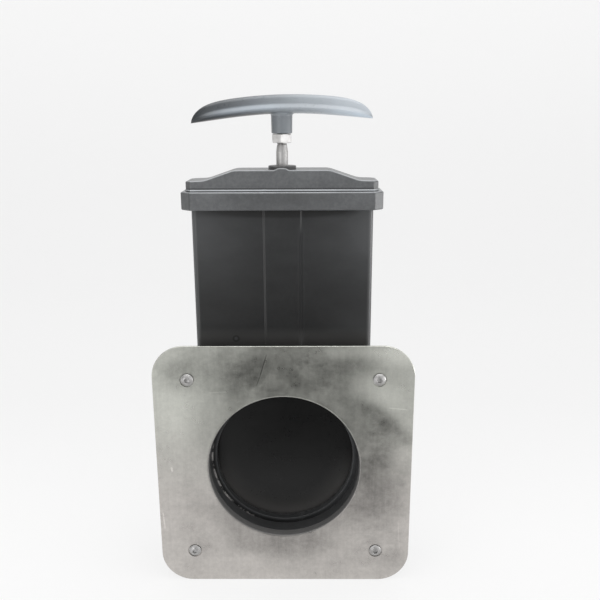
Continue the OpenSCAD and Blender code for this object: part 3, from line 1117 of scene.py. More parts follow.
class ShapeTree:
    """A Geometry Nodes tree with named inputs, run once and kept as a plain mesh."""

    result: Wire

    def __init__(self, name: str) -> None:
        """Starts a tree that takes a geometry.

        Args:
            name: The tree's name.
        """
        self.name = name
        self.tree = bpy.data.node_groups.new(name, "GeometryNodeTree")
        self.tree.is_modifier = True
        self.graph = Graph(self.tree)
        self.values: dict[str, float] = {}
        for side in ("INPUT", "OUTPUT"):
            self.tree.interface.new_socket("Geometry", in_out=side,
                                           socket_type="NodeSocketGeometry")
        self.entry = self.graph.node("NodeGroupInput")

    def size(self, name: str, value: float) -> Wire:
        """Adds a named size to the tree's inputs.

        Args:
            name: The input's name.
            value: Its value for this piece.

        Returns:
            The input, for use in the tree.
        """
        item = self.tree.interface.new_socket(name, in_out="INPUT",
                                              socket_type="NodeSocketFloat")
        self.values[item.identifier] = value
        outputs = {socket.identifier: socket for socket in self.entry.outputs}
        return Wire(self.graph, outputs[item.identifier])

    def vector(self, **parts: Number) -> Wire:
        """A vector from its X, Y and Z; those left out are 0."""
        return self.graph.add("ShaderNodeCombineXYZ", None, parts)

    def run(self, dress: Dress, source: bpy.types.Mesh | None = None) -> bpy.types.Mesh:
        """Runs the tree and takes its result as a plain mesh.

        Args:
            dress: The finish set on the result.
            source: The mesh that it starts from, if any.

        Returns:
            The mesh.
        """
        real = self.graph.add("GeometryNodeRealizeInstances", None, {0: self.result})
        dressed = self.graph.add("GeometryNodeSetMaterial", None,
                                 {"Geometry": real, "Material": dress.value.material()})
        self.graph.node("NodeGroupOutput", None, {0: dressed})
        holder = placed(self.name, source or bpy.data.meshes.new(self.name))
        modifier = holder.modifiers.new(self.name, "NODES")
        modifier.node_group = self.tree
        for identifier, value in self.values.items():
            modifier[identifier] = value
        return evaluated(holder)


# --------------------------------------------------------------------- valve


def reach(node: str) -> tuple[Vector, Vector]:
    """Lowest and highest corner of a node of the frame, in millimetres."""
    low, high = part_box(node)
    return low / MM, high / MM


def keep(nodes: dict[str, bpy.types.Object], dress: Dress, *names: str) -> None:
    """Dresses nodes of the frame that stay as they are.

    Args:
        nodes: The frame's nodes by name.
        dress: Their finish.
        names: The nodes to dress.
    """
    for name in names:
        for slot in nodes[name].material_slots:
            slot.material = dress.value.material()
        LOG.info("%s: kept, dressed as %s", name, dress.value.slot)


def bolted_sheet(name: str, node: str, corner_r: float, outer: Rim,
                 opening: tuple[float, Rim], hole: Rim) -> Draft:
    """Square sheet or flange with an opening and four bolt holes.

    Args:
        name: The piece's name.
        node: The frame's node that it stands for.
        corner_r: Radius of its corners.
        outer: Rim of its outline.
        opening: Radius and rim of the opening.
        hole: Rim of a bolt hole.

    Returns:
        Its draft.
    """
    low, high = reach(node)
    half = BOLT_PITCH / 2
    opening_r, opening_rim = opening
    draft = Draft(name)
    draft.sheet([(RoundedOutline(high.x - low.x, high.z - low.z, corner_r), outer),
                 (HoleOutline(opening_r), opening_rim)]
                + [(HoleOutline(BOLT_HOLE_R, (x, z), 40), hole)
                   for x, z in ((-half, half), (half, half), (-half, -half), (half, -half))])
    return draft


@dataclass
class FlangePlate:
    """Square stainless sheet with a collar drawn inward round the opening."""

    sheet_t: float = 2.0
    corner_r: float = 24.0
    edge_r: float = 0.5
    opening_r: float = 57.4
    draw_r: float = 1.4
    root_r: float = 0.8
    lip_r: float = 0.35
    recess_r: float = 5.3
    recess_d: float = 0.8
    recess_edge: float = 0.15
    seat_r: float = 3.82
    sink_slope: float = 0.9

    def outer_rim(self) -> Rim:
        """Rounded edge of the sheet, front to back."""
        front = edge_round(self.edge_r, 4)
        return front + [(inset, self.sheet_t - y) for inset, y in reversed(front)]

    def opening_rim(self, collar_d: float) -> Rim:
        """Drawn collar, from the plate's front face round to its back face.

        Args:
            collar_d: Depth of the collar.

        Returns:
            The rim.
        """
        outer = self.sheet_t
        lip = self.lip_r
        root = outer + self.root_r
        return (edge_round(self.draw_r, 6)
                + arc((lip, collar_d - lip), lip, 180.0, 90.0, 3)
                + arc((outer - lip, collar_d - lip), lip, 90.0, 0.0, 3)
                + arc((root, root), self.root_r, 180.0, 270.0, 4))

    def hole_rim(self) -> Rim:
        """Recessed and countersunk hole for a bolt head.

        Returns:
            The rim, from the front face to the back face.
        """
        recess = self.recess_r - BOLT_HOLE_R
        seat = self.seat_r - BOLT_HOLE_R
        return [(recess + self.recess_edge, 0.0), (recess, self.recess_edge),
                (recess, self.recess_d), (seat, self.recess_d),
                (0.0, self.recess_d + seat * self.sink_slope), (0.0, self.sheet_t)]

    def build(self) -> None:
        """Builds the plate."""
        collar_d = reach("flange_plate")[1].y
        draft = bolted_sheet("plate_sheet", "flange_plate", self.corner_r, self.outer_rim(),
                             (self.opening_r, self.opening_rim(collar_d)), self.hole_rim())
        draft.finish(Dress.PLATE, VALVE, "flange_plate", sharp=50.0)


@dataclass
class ValveBody:
    """Clamped flanges, the body with its gate housing, and the ring seals."""

    nodes: dict[str, bpy.types.Object]
    corner_r: float = 12.0
    edge_r: float = 0.6
    hole_edge: float = 0.4
    body_edge: float = 0.4
    waterway_r: float = 53.5
    socket_r: float = 57.4
    plate_collar_r: float = 59.4
    plate_collar_end: float = 8.0
    rear_seat_y: float = 58.0
    stop_d: float = 4.0
    hub_wall: float = 4.6
    hub_root_r: float = 4.0
    hub_rim_r: float = 1.2
    lead_in: float = 1.5

    def build(self) -> None:
        """Builds the mouldings with soft edges and dresses the seals."""
        self.front()
        body = Draft("body_moulding")
        body.copy_of(self.nodes["valve_body"])
        body.finish(Dress.BODY, VALVE, "valve_body", soften=self.body_edge)
        self.rear()
        keep(self.nodes, Dress.RUBBER, "front_seal", "rear_seal")

    def flange(self, node: str, name: str, y0: float, y1: float, waterway: Rim) -> None:
        """Builds a square flange with bolt holes and its own opening.

        Args:
            node: The frame's node that it stands for.
            name: The piece's name.
            y0: Front face.
            y1: Back face.
            waterway: Rim of the opening, from the waterway's radius outward.
        """
        front = edge_round(self.edge_r, 4)
        outer = [(inset, y0 + y) for inset, y in front]
        outer += [(inset, y1 - y) for inset, y in reversed(front)]
        edge = self.hole_edge
        hole = [(edge, y0), (0.0, y0 + edge), (0.0, y1 - edge), (edge, y1)]
        draft = bolted_sheet(name, node, self.corner_r, outer, (self.waterway_r, waterway), hole)
        draft.finish(Dress.FLANGE, VALVE, node, sharp=50.0)

    def front(self) -> None:
        """Builds the front flange with the front pipe socket."""
        low, high = reach("front_flange")
        socket = self.socket_r - self.waterway_r
        seat = self.plate_collar_r - self.waterway_r + 0.1
        end = self.plate_collar_end
        rim = [(seat + 0.8, low.y), (seat, low.y + 0.8), (seat, end), (socket + 0.3, end),
               (socket, end + 0.3), (socket, high.y)]
        self.flange("front_flange", "front_moulding", low.y, high.y, rim)

    def rear(self) -> None:
        """Builds the rear flange with the long pipe socket."""
        low, high = reach("rear_flange")
        inner = self.socket_r - self.waterway_r
        wall = inner + self.hub_wall
        stop = low.y + self.stop_d
        end = high.y
        rim_r = self.hub_rim_r
        root_r = self.hub_root_r
        rim = ([(0.0, low.y), (0.0, stop - 0.5), (0.5, stop), (inner, stop),
                (inner, end - self.lead_in), (inner + 0.25, end - self.lead_in + 0.3),
                (inner + self.lead_in, end)]
               + arc((wall - rim_r, end - rim_r), rim_r, 90.0, 0.0, 6)
               + arc((wall + root_r, self.rear_seat_y + root_r), root_r, 180.0, 270.0, 8))
        self.flange("rear_flange", "rear_moulding", low.y, self.rear_seat_y, rim)


@dataclass
class HousingTop:
    """Collar, arched cap and gland at the top of the gate housing."""

    nodes: dict[str, bpy.types.Object]
    housing_w: float = 131.0
    housing_t: float = 26.0
    cap_over: float = 3.0
    cap_cut: float = 3.6
    cap_edge: float = 1.0
    crown_inset: float = 1.2
    corner_edge: float = 1.3
    lip_over: float = 3.6
    lip_t: float = 1.1
    lip_edge: float = 0.45
    collar_over: float = 6.7
    collar_cut: float = 6.4
    collar_edge: float = 1.1
    collar_play: float = 0.05
    housing_cut: float = 2.1
    plug_d: float = 6.0
    plug_over: float = -3.7
    plug_cut: float = 1.2
    crown_half: float = 31.0
    ramp_half: float = 52.0
    bend: float = 6.0
    ramp_slope: float = 0.34
    end_slope: float = 0.03
    ridge_half: float = 5.6
    ridge_flat: float = 1.8
    ridge_h: float = 1.4
    shaft_hole_r: float = 4.65
    gland_body_r: float = 7.5
    gland_rim_t: float = 2.4
    gland_play: float = 0.34
    front_steps: int = 90

    def build(self) -> None:
        """Builds the collar, the cap and the gland and dresses the hidden seal."""
        keep(self.nodes, Dress.RUBBER, "shaft_seal")
        self.collar()
        self.cap()
        self.gland()

    def eased(self, x: float, start: float) -> float:
        """Run at full slope by x, where the slope grows steadily over one bend.

        Args:
            x: Distance from the middle.
            start: Where the bend starts.

        Returns:
            The run.
        """
        past = max(0.0, x - start)
        return past ** 2 / (2 * self.bend) if past < self.bend else past - self.bend / 2

    def arch(self, x: float) -> float:
        """Height of the cap's top above its crown, ridge included.

        Args:
            x: Place across the cap.

        Returns:
            The height, below 0 outside the crown.
        """
        away = abs(x)
        rise = (self.ridge_half - away) / (self.ridge_half - self.ridge_flat)
        ridge = self.ridge_h * (1 - math.cos(math.pi * min(1.0, max(0.0, rise)))) / 2
        ramp = self.ramp_slope * self.eased(away, self.crown_half)
        lift = (self.ramp_slope - self.end_slope) * self.eased(away, self.ramp_half)
        return ridge - ramp + lift

    def plan(self, over: float, corner: float, inset: float) -> list[Point]:
        """Plan of a block round the housing's axis, with many points along its front.

        Args:
            over: How far it stands outside the housing.
            corner: Width of its corner chamfers, whose ends are a little rounded.
            inset: How far it is drawn in.

        Returns:
            Points counter-clockwise from above, in X and Y about the axis.
        """
        half_x = self.housing_w / 2 + over - inset
        half_y = self.housing_t / 2 + over - inset
        radius = max(0.05, self.corner_edge - inset)
        cut = corner - CHAMFER_DRAWN_IN * inset + CHAMFER_ROUNDED * radius
        steps = self.front_steps
        back = arc((half_x - radius, half_y - cut), radius, 0.0, 45.0, 4)
        back += arc((half_x - cut, half_y - radius), radius, 45.0, 90.0, 4)
        corner_points = len(back)
        back += [((half_x - cut) * (1 - 2 * i / steps), half_y) for i in range(1, steps)]
        back += [(-x, y) for x, y in reversed(back[:corner_points])]
        return back + [(x, -y) for x, y in reversed(back)]

    def ring(self, mid_y: float, z: float | Callable[[float], float], over: float,
             corner: float, inset: float = 0.0) -> list[Vector]:
        """Ring round the housing's axis.

        Args:
            mid_y: Place of the axis along the waterway.
            z: Its height, or its height as a function of X.
            over: How far it stands outside the housing.
            corner: Width of its corner chamfers.
            inset: How far it is drawn in.

        Returns:
            Its points.
        """
        return [Vector((x, mid_y + y, z(x) if callable(z) else z))
                for x, y in self.plan(over, corner, inset)]

    @staticmethod
    def highlit_edge(radius: float, steps: int) -> list[tuple[float, float, float]]:
        """Rounding of an upper edge, as (inset, drop, painted highlight) from its side to its face.
        """
        return [(inset, drop, min(1.0, 1.3 * inset / radius))
                for inset, drop in reversed(edge_round(radius, steps))]

    def collar(self) -> None:
        """Builds the collar with its rounded edges, the upper one with a painted highlight."""
        low, high = reach("top_collar")
        mid_y = (low.y + high.y) / 2
        size = self.collar_over, self.collar_cut
        rows = [(self.ring(mid_y, low.z + rise, *size, inset), 0.0)
                for inset, rise in edge_round(self.collar_edge, 6)]
        # The upper rounded edge carries a painted highlight.
        rows += [(self.ring(mid_y, high.z - drop, *size, inset), wear)
                 for inset, drop, wear in self.highlit_edge(self.collar_edge, 8)]
        rows += [(self.ring(mid_y, z, self.collar_play, self.housing_cut), 0.0)
                 for z in (high.z, low.z)]
        draft = Draft("collar_band")
        draft.loft([ring for ring, _ in rows], closed=True, painted_light=[wear for _, wear in rows])
        draft.finish(Dress.CAP, VALVE, "top_collar", sharp=40.0)

    def cap(self) -> None:
        """Builds the arched cap with its lip and the plug under it."""
        low, high = reach("end_cap")
        mid_y = (low.y + high.y) / 2
        lip_z = low.z + self.plug_d
        root_z = lip_z + self.lip_t
        crown = high.z - self.ridge_h
        size = self.cap_over, self.cap_cut
        lip = edge_round(self.lip_edge, 4)
        lip += [(inset, self.lip_t - rise) for inset, rise in reversed(lip)]
        lip_cut = self.cap_cut + CHAMFER_DRAWN_IN * (self.lip_over - self.cap_over)
        rows = [(self.ring(mid_y, z, self.plug_over, self.plug_cut), 0.0)
                for z in (low.z, lip_z)]
        # The lip's rounded edge carries a painted highlight.
        rows += [(self.ring(mid_y, lip_z + rise, self.lip_over, lip_cut, inset),
                  0.0 if rise == 0.0 else 0.9) for inset, rise in lip]
        # Painted shade at the root above the lip.
        rows += [(self.ring(mid_y, root_z + rise, *size), wear)
                 for rise, wear in ((0.0, -0.6), (0.3, -0.8), (0.8, -0.5), (1.4, 0.0))]
        # The crown's rounded edge carries a painted highlight.
        rows += [(self.ring(mid_y, lambda x, fall=drop: crown + self.arch(x) - fall, *size,
                            inset), wear)
                 for inset, drop, wear in self.highlit_edge(self.cap_edge, 7)]
        rows.append((self.ring(mid_y, lambda x: crown + self.arch(x), *size,
                               self.cap_edge + self.crown_inset), 0.0))
        draft = Draft("arched_cap")
        draft.loft([ring for ring, _ in rows], strips=True, painted_light=[wear for _, wear in rows])
        draft.cut(self.shaft_way(mid_y, low.z - 2.0, high.z + 2.0))
        draft.finish(Dress.CAP, VALVE, "end_cap", sharp=40.0)

    def shaft_way(self, mid_y: float, low: float, high: float) -> Draft:
        """The hole that the shaft and the gland's body pass through.

        Args:
            mid_y: Place of the shaft along the waterway.
            low: Its lower end.
            high: Its upper end.

        Returns:
            A draft of the hole.
        """
        draft = Draft("shaft_way")
        radius = self.shaft_hole_r
        draft.turn([(0.0, low), (radius, low), (radius, high), (0.0, high)],
                   moved(0.0, mid_y, 0.0), 64, closed=False)
        return draft

    def gland(self) -> None:
        """Builds the flanged bushing round the shaft."""
        low, high = reach("gland_bushing")
        rim = (high.x - low.x) / 2
        bore = self.shaft_hole_r - self.gland_play
        seat = high.z - self.gland_rim_t
        body = self.gland_body_r
        profile = ([(bore, low.z + 0.3), (bore + 0.3, low.z), (body, low.z), (body, seat),
                    (rim - 0.2, seat), (rim, seat + 0.2)]
                   + arc((rim - 0.6, high.z - 0.6), 0.6, 0.0, 90.0, 5)
                   + [(bore + 1.1, high.z)]
                   + arc((bore + 0.5, high.z - 0.5), 0.5, 90.0, 180.0, 3))
        draft = Draft("gland_ring")
        draft.turn(profile, moved(0.0, (low.y + high.y) / 2, 0.0))
        draft.finish(Dress.BUSHING, VALVE, "gland_bushing")


def hex_reach(across_flats: float, degrees: float) -> float:
    """Distance from a hexagon's centre to its side in the given direction."""
    return across_flats / 2 / math.cos(math.radians(degrees % 60.0 - 30.0))


def hex_nut(draft: Draft, across_flats: float, height: float, bore_r: float,
            place: Matrix, steps: int = 96) -> None:
    """Adds a hexagon nut whose corners are chamfered at both faces.

    Args:
        draft: The draft that takes the nut.
        across_flats: Width across its flats.
        height: Its height.
        bore_r: Radius of its bore.
        place: Takes its axis, Z from its lower face, to the real place.
        steps: Points round it.
    """
    face_r = 0.475 * across_flats
    slope = 0.42
    sink = 0.35

    def ring(height_at: Callable[[float], float], radius: float | None = None) -> list[Vector]:
        """Ring round the nut's axis.

        Args:
            height_at: Its height at an angle.
            radius: Its radius; without one it follows the nut's sides.

        Returns:
            Its points.
        """
        points = []
        for angle in (360.0 * i / steps for i in range(steps)):
            r = hex_reach(across_flats, angle) if radius is None else radius
            turn = math.radians(angle)
            points.append(place @ Vector((r * math.cos(turn), r * math.sin(turn),
                                          height_at(angle))))
        return points

    def chamfer(angle: float) -> float:
        """How far the chamfer reaches down the side at that angle."""
        return slope * (hex_reach(across_flats, angle) - face_r)

    draft.loft([ring(lambda a: sink, bore_r), ring(lambda a: 0.0, bore_r + sink),
                ring(lambda a: 0.0, face_r), ring(chamfer),
                ring(lambda a: height - chamfer(a)), ring(lambda a: height, face_r),
                ring(lambda a: height, bore_r + sink), ring(lambda a: height - sink, bore_r)],
               closed=True)


class ThreadTree(ShapeTree):
    """Wraps a thread's ridge round an axis along Z."""

    half_share = 0.62

    def __init__(self, radius: float, pitch: float, length: float, depth: float) -> None:
        """Builds the tree.

        Args:
            radius: Radius of the thread's crest.
            pitch: Rise in one turn.
            length: Length of the thread.
            depth: Depth of the ridge.
        """
        super().__init__("thread_tree")
        run = self.size("Length", length)
        half = self.size("Ridge depth", depth) * self.half_share
        middle = self.size("Crest radius", radius) - half
        spiral = self.graph.add("GeometryNodeCurveSpiral", None,
                                {"Resolution": 40, "Rotations": run / self.size("Pitch", pitch),
                                 "Start Radius": middle, "End Radius": middle, "Height": run})
        section = self.graph.add("GeometryNodeCurvePrimitiveCircle", None,
                                 {"Resolution": 6, "Radius": half})
        self.result = self.graph.add("GeometryNodeCurveToMesh", None,
                                     {"Curve": spiral, "Profile Curve": section,
                                      "Fill Caps": True})


class CornerTree(ShapeTree):
    """Puts a fastener at each corner of the bolt square, each turned by chance."""

    def __init__(self, seat_y: float, largest_turn: float, seed: int = 4) -> None:
        """Builds the tree.

        Args:
            seat_y: Place along the waterway.
            largest_turn: Largest turn about the bolt's axis, in radians.
            seed: Seed of the turns.
        """
        super().__init__("corner_tree")
        side = self.size("Bolt pitch", BOLT_PITCH)
        grid = self.graph.add("GeometryNodeMeshGrid", None,
                              {"Size X": side, "Size Y": side, "Vertices X": 2, "Vertices Y": 2})
        square = self.graph.add("GeometryNodeTransform", None,
                                {"Geometry": grid, "Rotation": (math.radians(90.0), 0.0, 0.0),
                                 "Translation": self.vector(Y=self.size("Seat", seat_y))})
        chance = self.graph.add("FunctionNodeRandomValue", {"data_type": "FLOAT"},
                                {2: 0.0, 3: 1.0, "Seed": seed}, output=1)
        turn = self.vector(Y=chance * self.size("Largest turn", largest_turn))
        self.result = self.graph.add(
            "GeometryNodeInstanceOnPoints", None,
            {"Points": square, "Instance": Wire(self.graph, self.entry.outputs[0]),
             "Rotation": turn})


@dataclass
class CornerFasteners:
    """Four bolts with domed heads, and the washers and nuts behind them."""

    head_r: float = 4.7
    head_rise: float = 1.9
    head_edge: float = 0.04
    sheet_t: float = 2.0
    shank_r: float = 2.5
    core_d: float = 0.30
    socket_af: float = 3.6
    socket_floor: float = -0.1
    socket_edge: float = 0.18
    tip: float = 0.6
    washer_t: float = 1.0
    washer_edge: float = 0.18
    nut_af: float = 8.0
    nut_h: float = 4.5
    washer_play: float = 0.12
    thread_pitch: float = 0.8
    thread_len: float = 9.0
    thread_d: float = 0.42
    steps: int = 48

    def dome(self, radius: float) -> float:
        """Depth of the head's dome at that radius; negative stands proud."""
        ball = (self.head_r ** 2 + self.head_rise ** 2) / (2 * self.head_rise)
        return ball - self.head_rise - math.sqrt(ball ** 2 - radius ** 2)

    def ring(self, radius: float | Callable[[float], float],
             depth: float | Callable[[float], float]) -> list[Vector]:
        """Ring of points round a bolt's axis.

        Args:
            radius: Its radius, or the radius at an angle in degrees.
            depth: Its depth, or the depth at a radius.

        Returns:
            The ring's points.
        """
        points = []
        for i in range(self.steps):
            angle = 360.0 * i / self.steps
            r = radius(angle) if callable(radius) else radius
            y = depth(r) if callable(depth) else depth
            turn = math.radians(angle)
            points.append(Vector((r * math.cos(turn), y, r * math.sin(turn))))
        return points

    def socket(self, angle: float) -> float:
        """Radius of the hexagon socket at that angle."""
        return hex_reach(self.socket_af, angle)

    def bolt(self, end_y: float) -> bpy.types.Mesh:
        """Makes one bolt on the Y axis.

        Args:
            end_y: Where it ends.

        Returns:
            Its mesh.
        """
        rim = self.head_r
        edge = self.socket_edge
        core = self.shank_r - self.core_d
        tip_y = end_y - self.tip
        dome = [self.ring(share * rim, self.dome) for share in (0.56, 0.64, 0.72, 0.80, 0.88, 0.94)]
        draft = Draft("bolt")
        draft.loft([self.ring(0.0, self.socket_floor + 0.5),
                    self.ring(self.socket, self.socket_floor),
                    self.ring(self.socket, lambda r: self.dome(r) + edge),
                    self.ring(lambda a: self.socket(a) + edge, self.dome),
                    *dome,
                    self.ring(rim - 0.06, lambda r: self.dome(r) - 0.01),
                    self.ring(rim, self.head_edge),
                    self.ring(self.shank_r, self.sheet_t),
                    self.ring(core, self.sheet_t + self.core_d),
                    self.ring(core, tip_y),
                    self.ring(core - self.tip, end_y)])
        thread = ThreadTree(self.shank_r, self.thread_pitch, self.thread_len, self.thread_d)
        draft.add_mesh(thread.run(Dress.FASTENER),
                       moved(0.0, tip_y - self.thread_len - 0.2, 0.0) @ AXIS_Y)
        return draft.plain_mesh()

    def washer(self, width: float) -> bpy.types.Mesh:
        """Makes one washer on the Y axis.

        Args:
            width: Its width over all.

        Returns:
            Its mesh.
        """
        rim = width / 2
        bore = self.shank_r + self.washer_play
        edge = self.washer_edge
        top = self.washer_t
        draft = Draft("washer")
        draft.turn([(bore, edge), (bore + edge, 0.0), (rim - edge, 0.0), (rim, edge),
                    (rim, top - edge), (rim - edge, top), (bore + edge, top),
                    (bore, top - edge)], AXIS_Y, 64)
        return draft.plain_mesh()

    def nut(self) -> bpy.types.Mesh:
        """Makes one nut on the Y axis.

        Returns:
            Its mesh.
        """
        draft = Draft("nut")
        hex_nut(draft, self.nut_af, self.nut_h, self.shank_r - 0.05, AXIS_Y, 48)
        return draft.plain_mesh()

    @staticmethod
    def four(name: str, source: bpy.types.Mesh, seat_y: float, turn: float,
             stem: str) -> None:
        """Puts a fastener at the four corners as one piece.

        Args:
            name: The piece's name.
            source: One fastener's mesh.
            seat_y: Place along the waterway.
            turn: Largest turn about its axis, in radians.
            stem: Start of the names of the four nodes that it replaces.
        """
        draft = Draft(name)
        draft.add_mesh(CornerTree(seat_y, turn).run(Dress.FASTENER, source))
        draft.finish(Dress.FASTENER, VALVE, *(f"{stem}_{i}" for i in range(1, 5)))

    def build(self) -> None:
        """Builds the bolts, washers and nuts."""
        end_y = reach("flange_bolt_1")[1].y
        low, high = reach("flange_washer_1")
        self.four("corner_bolts", self.bolt(end_y), 0.0, 1.0, "flange_bolt")
        self.four("corner_washers", self.washer(high.x - low.x), low.y, 0.0, "flange_washer")
        self.four("corner_nuts", self.nut(), high.y, 1.0, "flange_nut")


@dataclass
class GateAndShaft:
    """The gate, its shaft with a threaded neck, the cross pin and the jam nut."""

    nodes: dict[str, bpy.types.Object]
    gate_edge: float = 0.35
    shaft_r: float = 4.25
    foot_edge: float = 0.3
    neck_r: float = 3.6
    neck_h: float = 4.8
    core_d: float = 0.45
    tip: float = 0.5
    thread_len: float = 22.0
    thread_pitch: float = 1.25
    thread_d: float = 0.6
    thread_end: float = 1.5
    nut_af: float = 13.0
    nut_turn: float = 25.0
    nut_edge: float = 0.12

    def build(self) -> None:
        """Builds the gate, the shaft and the jam nut and dresses the pin."""
        paddle = Draft("gate_blade")
        paddle.copy_of(self.nodes["gate_paddle"])
        paddle.finish(Dress.PADDLE, GATE, "gate_paddle", soften=self.gate_edge)
        keep(self.nodes, Dress.FASTENER, "shaft_pin")
        self.shaft()
        self.jam_nut()

    def shaft(self) -> None:
        """Builds the turned shaft, with its waisted neck, and its thread."""
        low, high = reach("gate_shaft")
        mid_y = (low.y + high.y) / 2
        neck_z = high.z - self.thread_len
        waist_z = neck_z - self.neck_h
        full = self.shaft_r
        core = self.neck_r - self.core_d
        profile = [(0.0, low.z), (full - self.foot_edge, low.z), (full, low.z + self.foot_edge),
                   (full, waist_z - 0.4), (full - 0.03, waist_z - 0.1),
                   (full - 0.12, waist_z + 0.3), (self.neck_r + 0.06, neck_z - 0.9),
                   (self.neck_r - 0.12, neck_z - 0.4), (core, neck_z),
                   (core, high.z - self.tip), (core - self.tip, high.z), (0.0, high.z)]
        draft = Draft("turned_shaft")
        draft.turn(profile, moved(0.0, mid_y, 0.0), 64, closed=False)
        run = self.thread_len - self.thread_end
        thread = ThreadTree(self.neck_r, self.thread_pitch, run, self.thread_d)
        draft.add_mesh(thread.run(Dress.SHAFT), moved(0.0, mid_y, neck_z + 0.1))
        draft.finish(Dress.SHAFT, GATE, "gate_shaft")

    def jam_nut(self) -> None:
        """Builds the jam nut under the handle."""
        low, high = reach("jam_nut")
        place = (moved(0.0, (low.y + high.y) / 2, low.z)
                 @ Matrix.Rotation(math.radians(self.nut_turn), 4, "Z"))
        draft = Draft("jam_nut_hex")
        hex_nut(draft, self.nut_af, high.z - low.z, self.neck_r, place)
        draft.finish(Dress.LIT_NUT, GATE, "jam_nut", soften=self.nut_edge)


class GripTree(ShapeTree):
    """Lofts the pull handle's grip through stepped ovals that droop to its tips."""

    def __init__(self, grip: PullHandle, middle: Vector) -> None:
        """Builds the tree.

        Args:
            grip: The handle's sizes.
            middle: Middle of the grip's underside.
        """
        super().__init__("grip_tree")
        half = self.size("Half width", grip.width / 2)
        depth = self.size("Half depth", grip.depth / 2)
        height = self.size("Height", grip.height)
        sag = self.size("Sag", grip.sag)
        set_back = self.size("Set-back", grip.set_back)
        shelf_low = self.size("Shelf foot", grip.shelf_low)
        shelf_high = self.size("Shelf top", grip.shelf_high)
        lean = self.size("Lean", grip.lean)
        grid = self.graph.add("GeometryNodeMeshGrid", None,
                              {"Size X": 1.0, "Size Y": 1.0, "Vertices X": 161,
                               "Vertices Y": 97})
        share, round_about, _ = self.graph.split(self.graph.add("GeometryNodeInputPosition"))
        turn = round_about * (2 * math.pi)
        side = self.trig("SINE", share * math.pi)
        away = abs(side).at_most(1.0)
        level = (1.0 + self.trig("SINE", turn)) * 0.5
        swing = self.trig("COSINE", turn)
        step = ((level - shelf_low) / (shelf_high - shelf_low)).at_least(0.0).at_most(1.0)
        step = step * step * (3.0 - 2.0 * step)
        bulge = abs(swing) ** (0.62 - 0.30 * step) * (1.0 - set_back * step)
        tall = height * ((1.0 - away ** 7.0).at_least(0.0) ** 0.6)
        deep = depth * ((1.0 - away ** 3.5).at_least(0.0) ** 0.55)
        droop = sag * (1.35 * away * away - 0.35 * away ** 4.0)
        grid = self.graph.add("GeometryNodeStoreNamedAttribute",
                              {"data_type": "FLOAT", "domain": "POINT"},
                              {"Geometry": grid, "Name": PAINTED_LIGHT_ATTRIBUTE,
                               "Value": self.wear(share, level, swing)})
        place = self.vector(X=half * side,
                            Y=middle.y + deep * bulge * self.trig("SIGN", swing),
                            Z=middle.z - droop + tall * level + lean * half * side)
        self.result = self.graph.add("GeometryNodeSetPosition", None,
                                     {"Geometry": grid, "Position": place})

    @staticmethod
    def trig(operation: str, angle: Wire) -> Wire:
        """A Math node of one input."""
        return angle.math(operation, angle)

    @staticmethod
    def wear(share: Wire, level: Wire, swing: Wire) -> Wire:
        """Painted light on the grip: highlights on its front shelf and right end, shade below at
        the left.

        Args:
            share: Place along the grip, from -0.5 to 0.5.
            level: Height on its section, from 0 to 1.
            swing: Below 0 in front and above 0 behind.

        Returns:
            The painted light.
        """
        front = swing.step_up(0.1, -0.1)
        shelf = level.step_up(0.14, 0.30) * level.step_up(0.60, 0.42)
        # Painted highlights on the front shelf and the right end; painted shade below at the left.
        painted_highlight = (0.30 * share.step_up(-0.38, -0.12) * share.step_up(0.10, -0.06) * shelf * front
                + 0.7 * share.step_up(0.10, 0.34) * level.step_up(0.40, 0.16))
        return painted_highlight - 0.8 * level.step_up(0.14, 0.05) * share.step_up(0.12, -0.14)


@dataclass
class PullHandle:
    """Moulded pull handle: a stepped grip on a round, tapered stem."""

    width: float = 129.0
    depth: float = 24.0
    height: float = 12.9
    sag: float = 5.0
    set_back: float = 0.26
    shelf_low: float = 0.20
    shelf_high: float = 0.54
    lean: float = 0.022
    lean_drop: float = 0.1
    stem_r0: float = 7.4
    stem_r1: float = 7.7
    stem_foot: float = 0.8
    stem_overlap: float = 3.0
    flare_r: float = 1.5
    bore_r: float = 3.6
    bore_edge: float = 0.3

    def build(self) -> None:
        """Builds the handle."""
        low, high = reach("pull_handle")
        middle = Vector((0.0, (low.y + high.y) / 2, high.z - self.height - self.lean_drop))
        draft = Draft("pull_grip")
        draft.add_mesh(GripTree(self, middle).run(Dress.HANDLE))
        foot = low.z
        top = middle.z + self.stem_overlap
        neck_z = middle.z - self.flare_r
        stem = ([(self.bore_r, foot + self.bore_edge), (self.bore_r + self.bore_edge, foot)]
                + arc((self.stem_r0 - self.stem_foot, foot + self.stem_foot), self.stem_foot,
                      270.0, 360.0, 5)
                + [(self.stem_r1 - 0.1, neck_z - 0.1)]
                + arc((self.stem_r1 - 0.1 + self.flare_r, neck_z), self.flare_r, 180.0, 105.0, 5)
                + [(self.stem_r1, top), (self.bore_r, top)])
        draft.turn(stem, moved(0.0, middle.y, 0.0))
        draft.finish(Dress.HANDLE, GATE, "pull_handle", sharp=50.0)


# -------------------------------------------------------------------- studio


@dataclass(frozen=True)
class SoftBox:
    """A soft box: where it hangs and points, its size in metres and power in watts."""

    name: str
    place: Place
    target: Place
    size: Point
    power: float
    gloss_only: bool = False

    def hang(self) -> None:
        """Adds the lamp to the scene."""
        light = bpy.data.lights.new(self.name, "AREA")
        light.shape = "RECTANGLE"
        light.size, light.size_y = self.size
        light.energy = self.power
        aim = Vector(self.target) - Vector(self.place)
        lamp = placed(self.name, light)
        lamp.matrix_world = (Matrix.Translation(Vector(self.place))
                             @ aim.to_track_quat("-Z", "Y").to_matrix().to_4x4())
        if self.gloss_only:
            leave_to_gloss(lamp)


def leave_to_gloss(thing: bpy.types.Object) -> None:
    """Leaves a card or lamp to reflections alone.

    Args:
        thing: The card or lamp.
    """
    thing.visible_camera = False
    thing.visible_diffuse = False
    thing.visible_shadow = False
    thing.visible_transmission = False


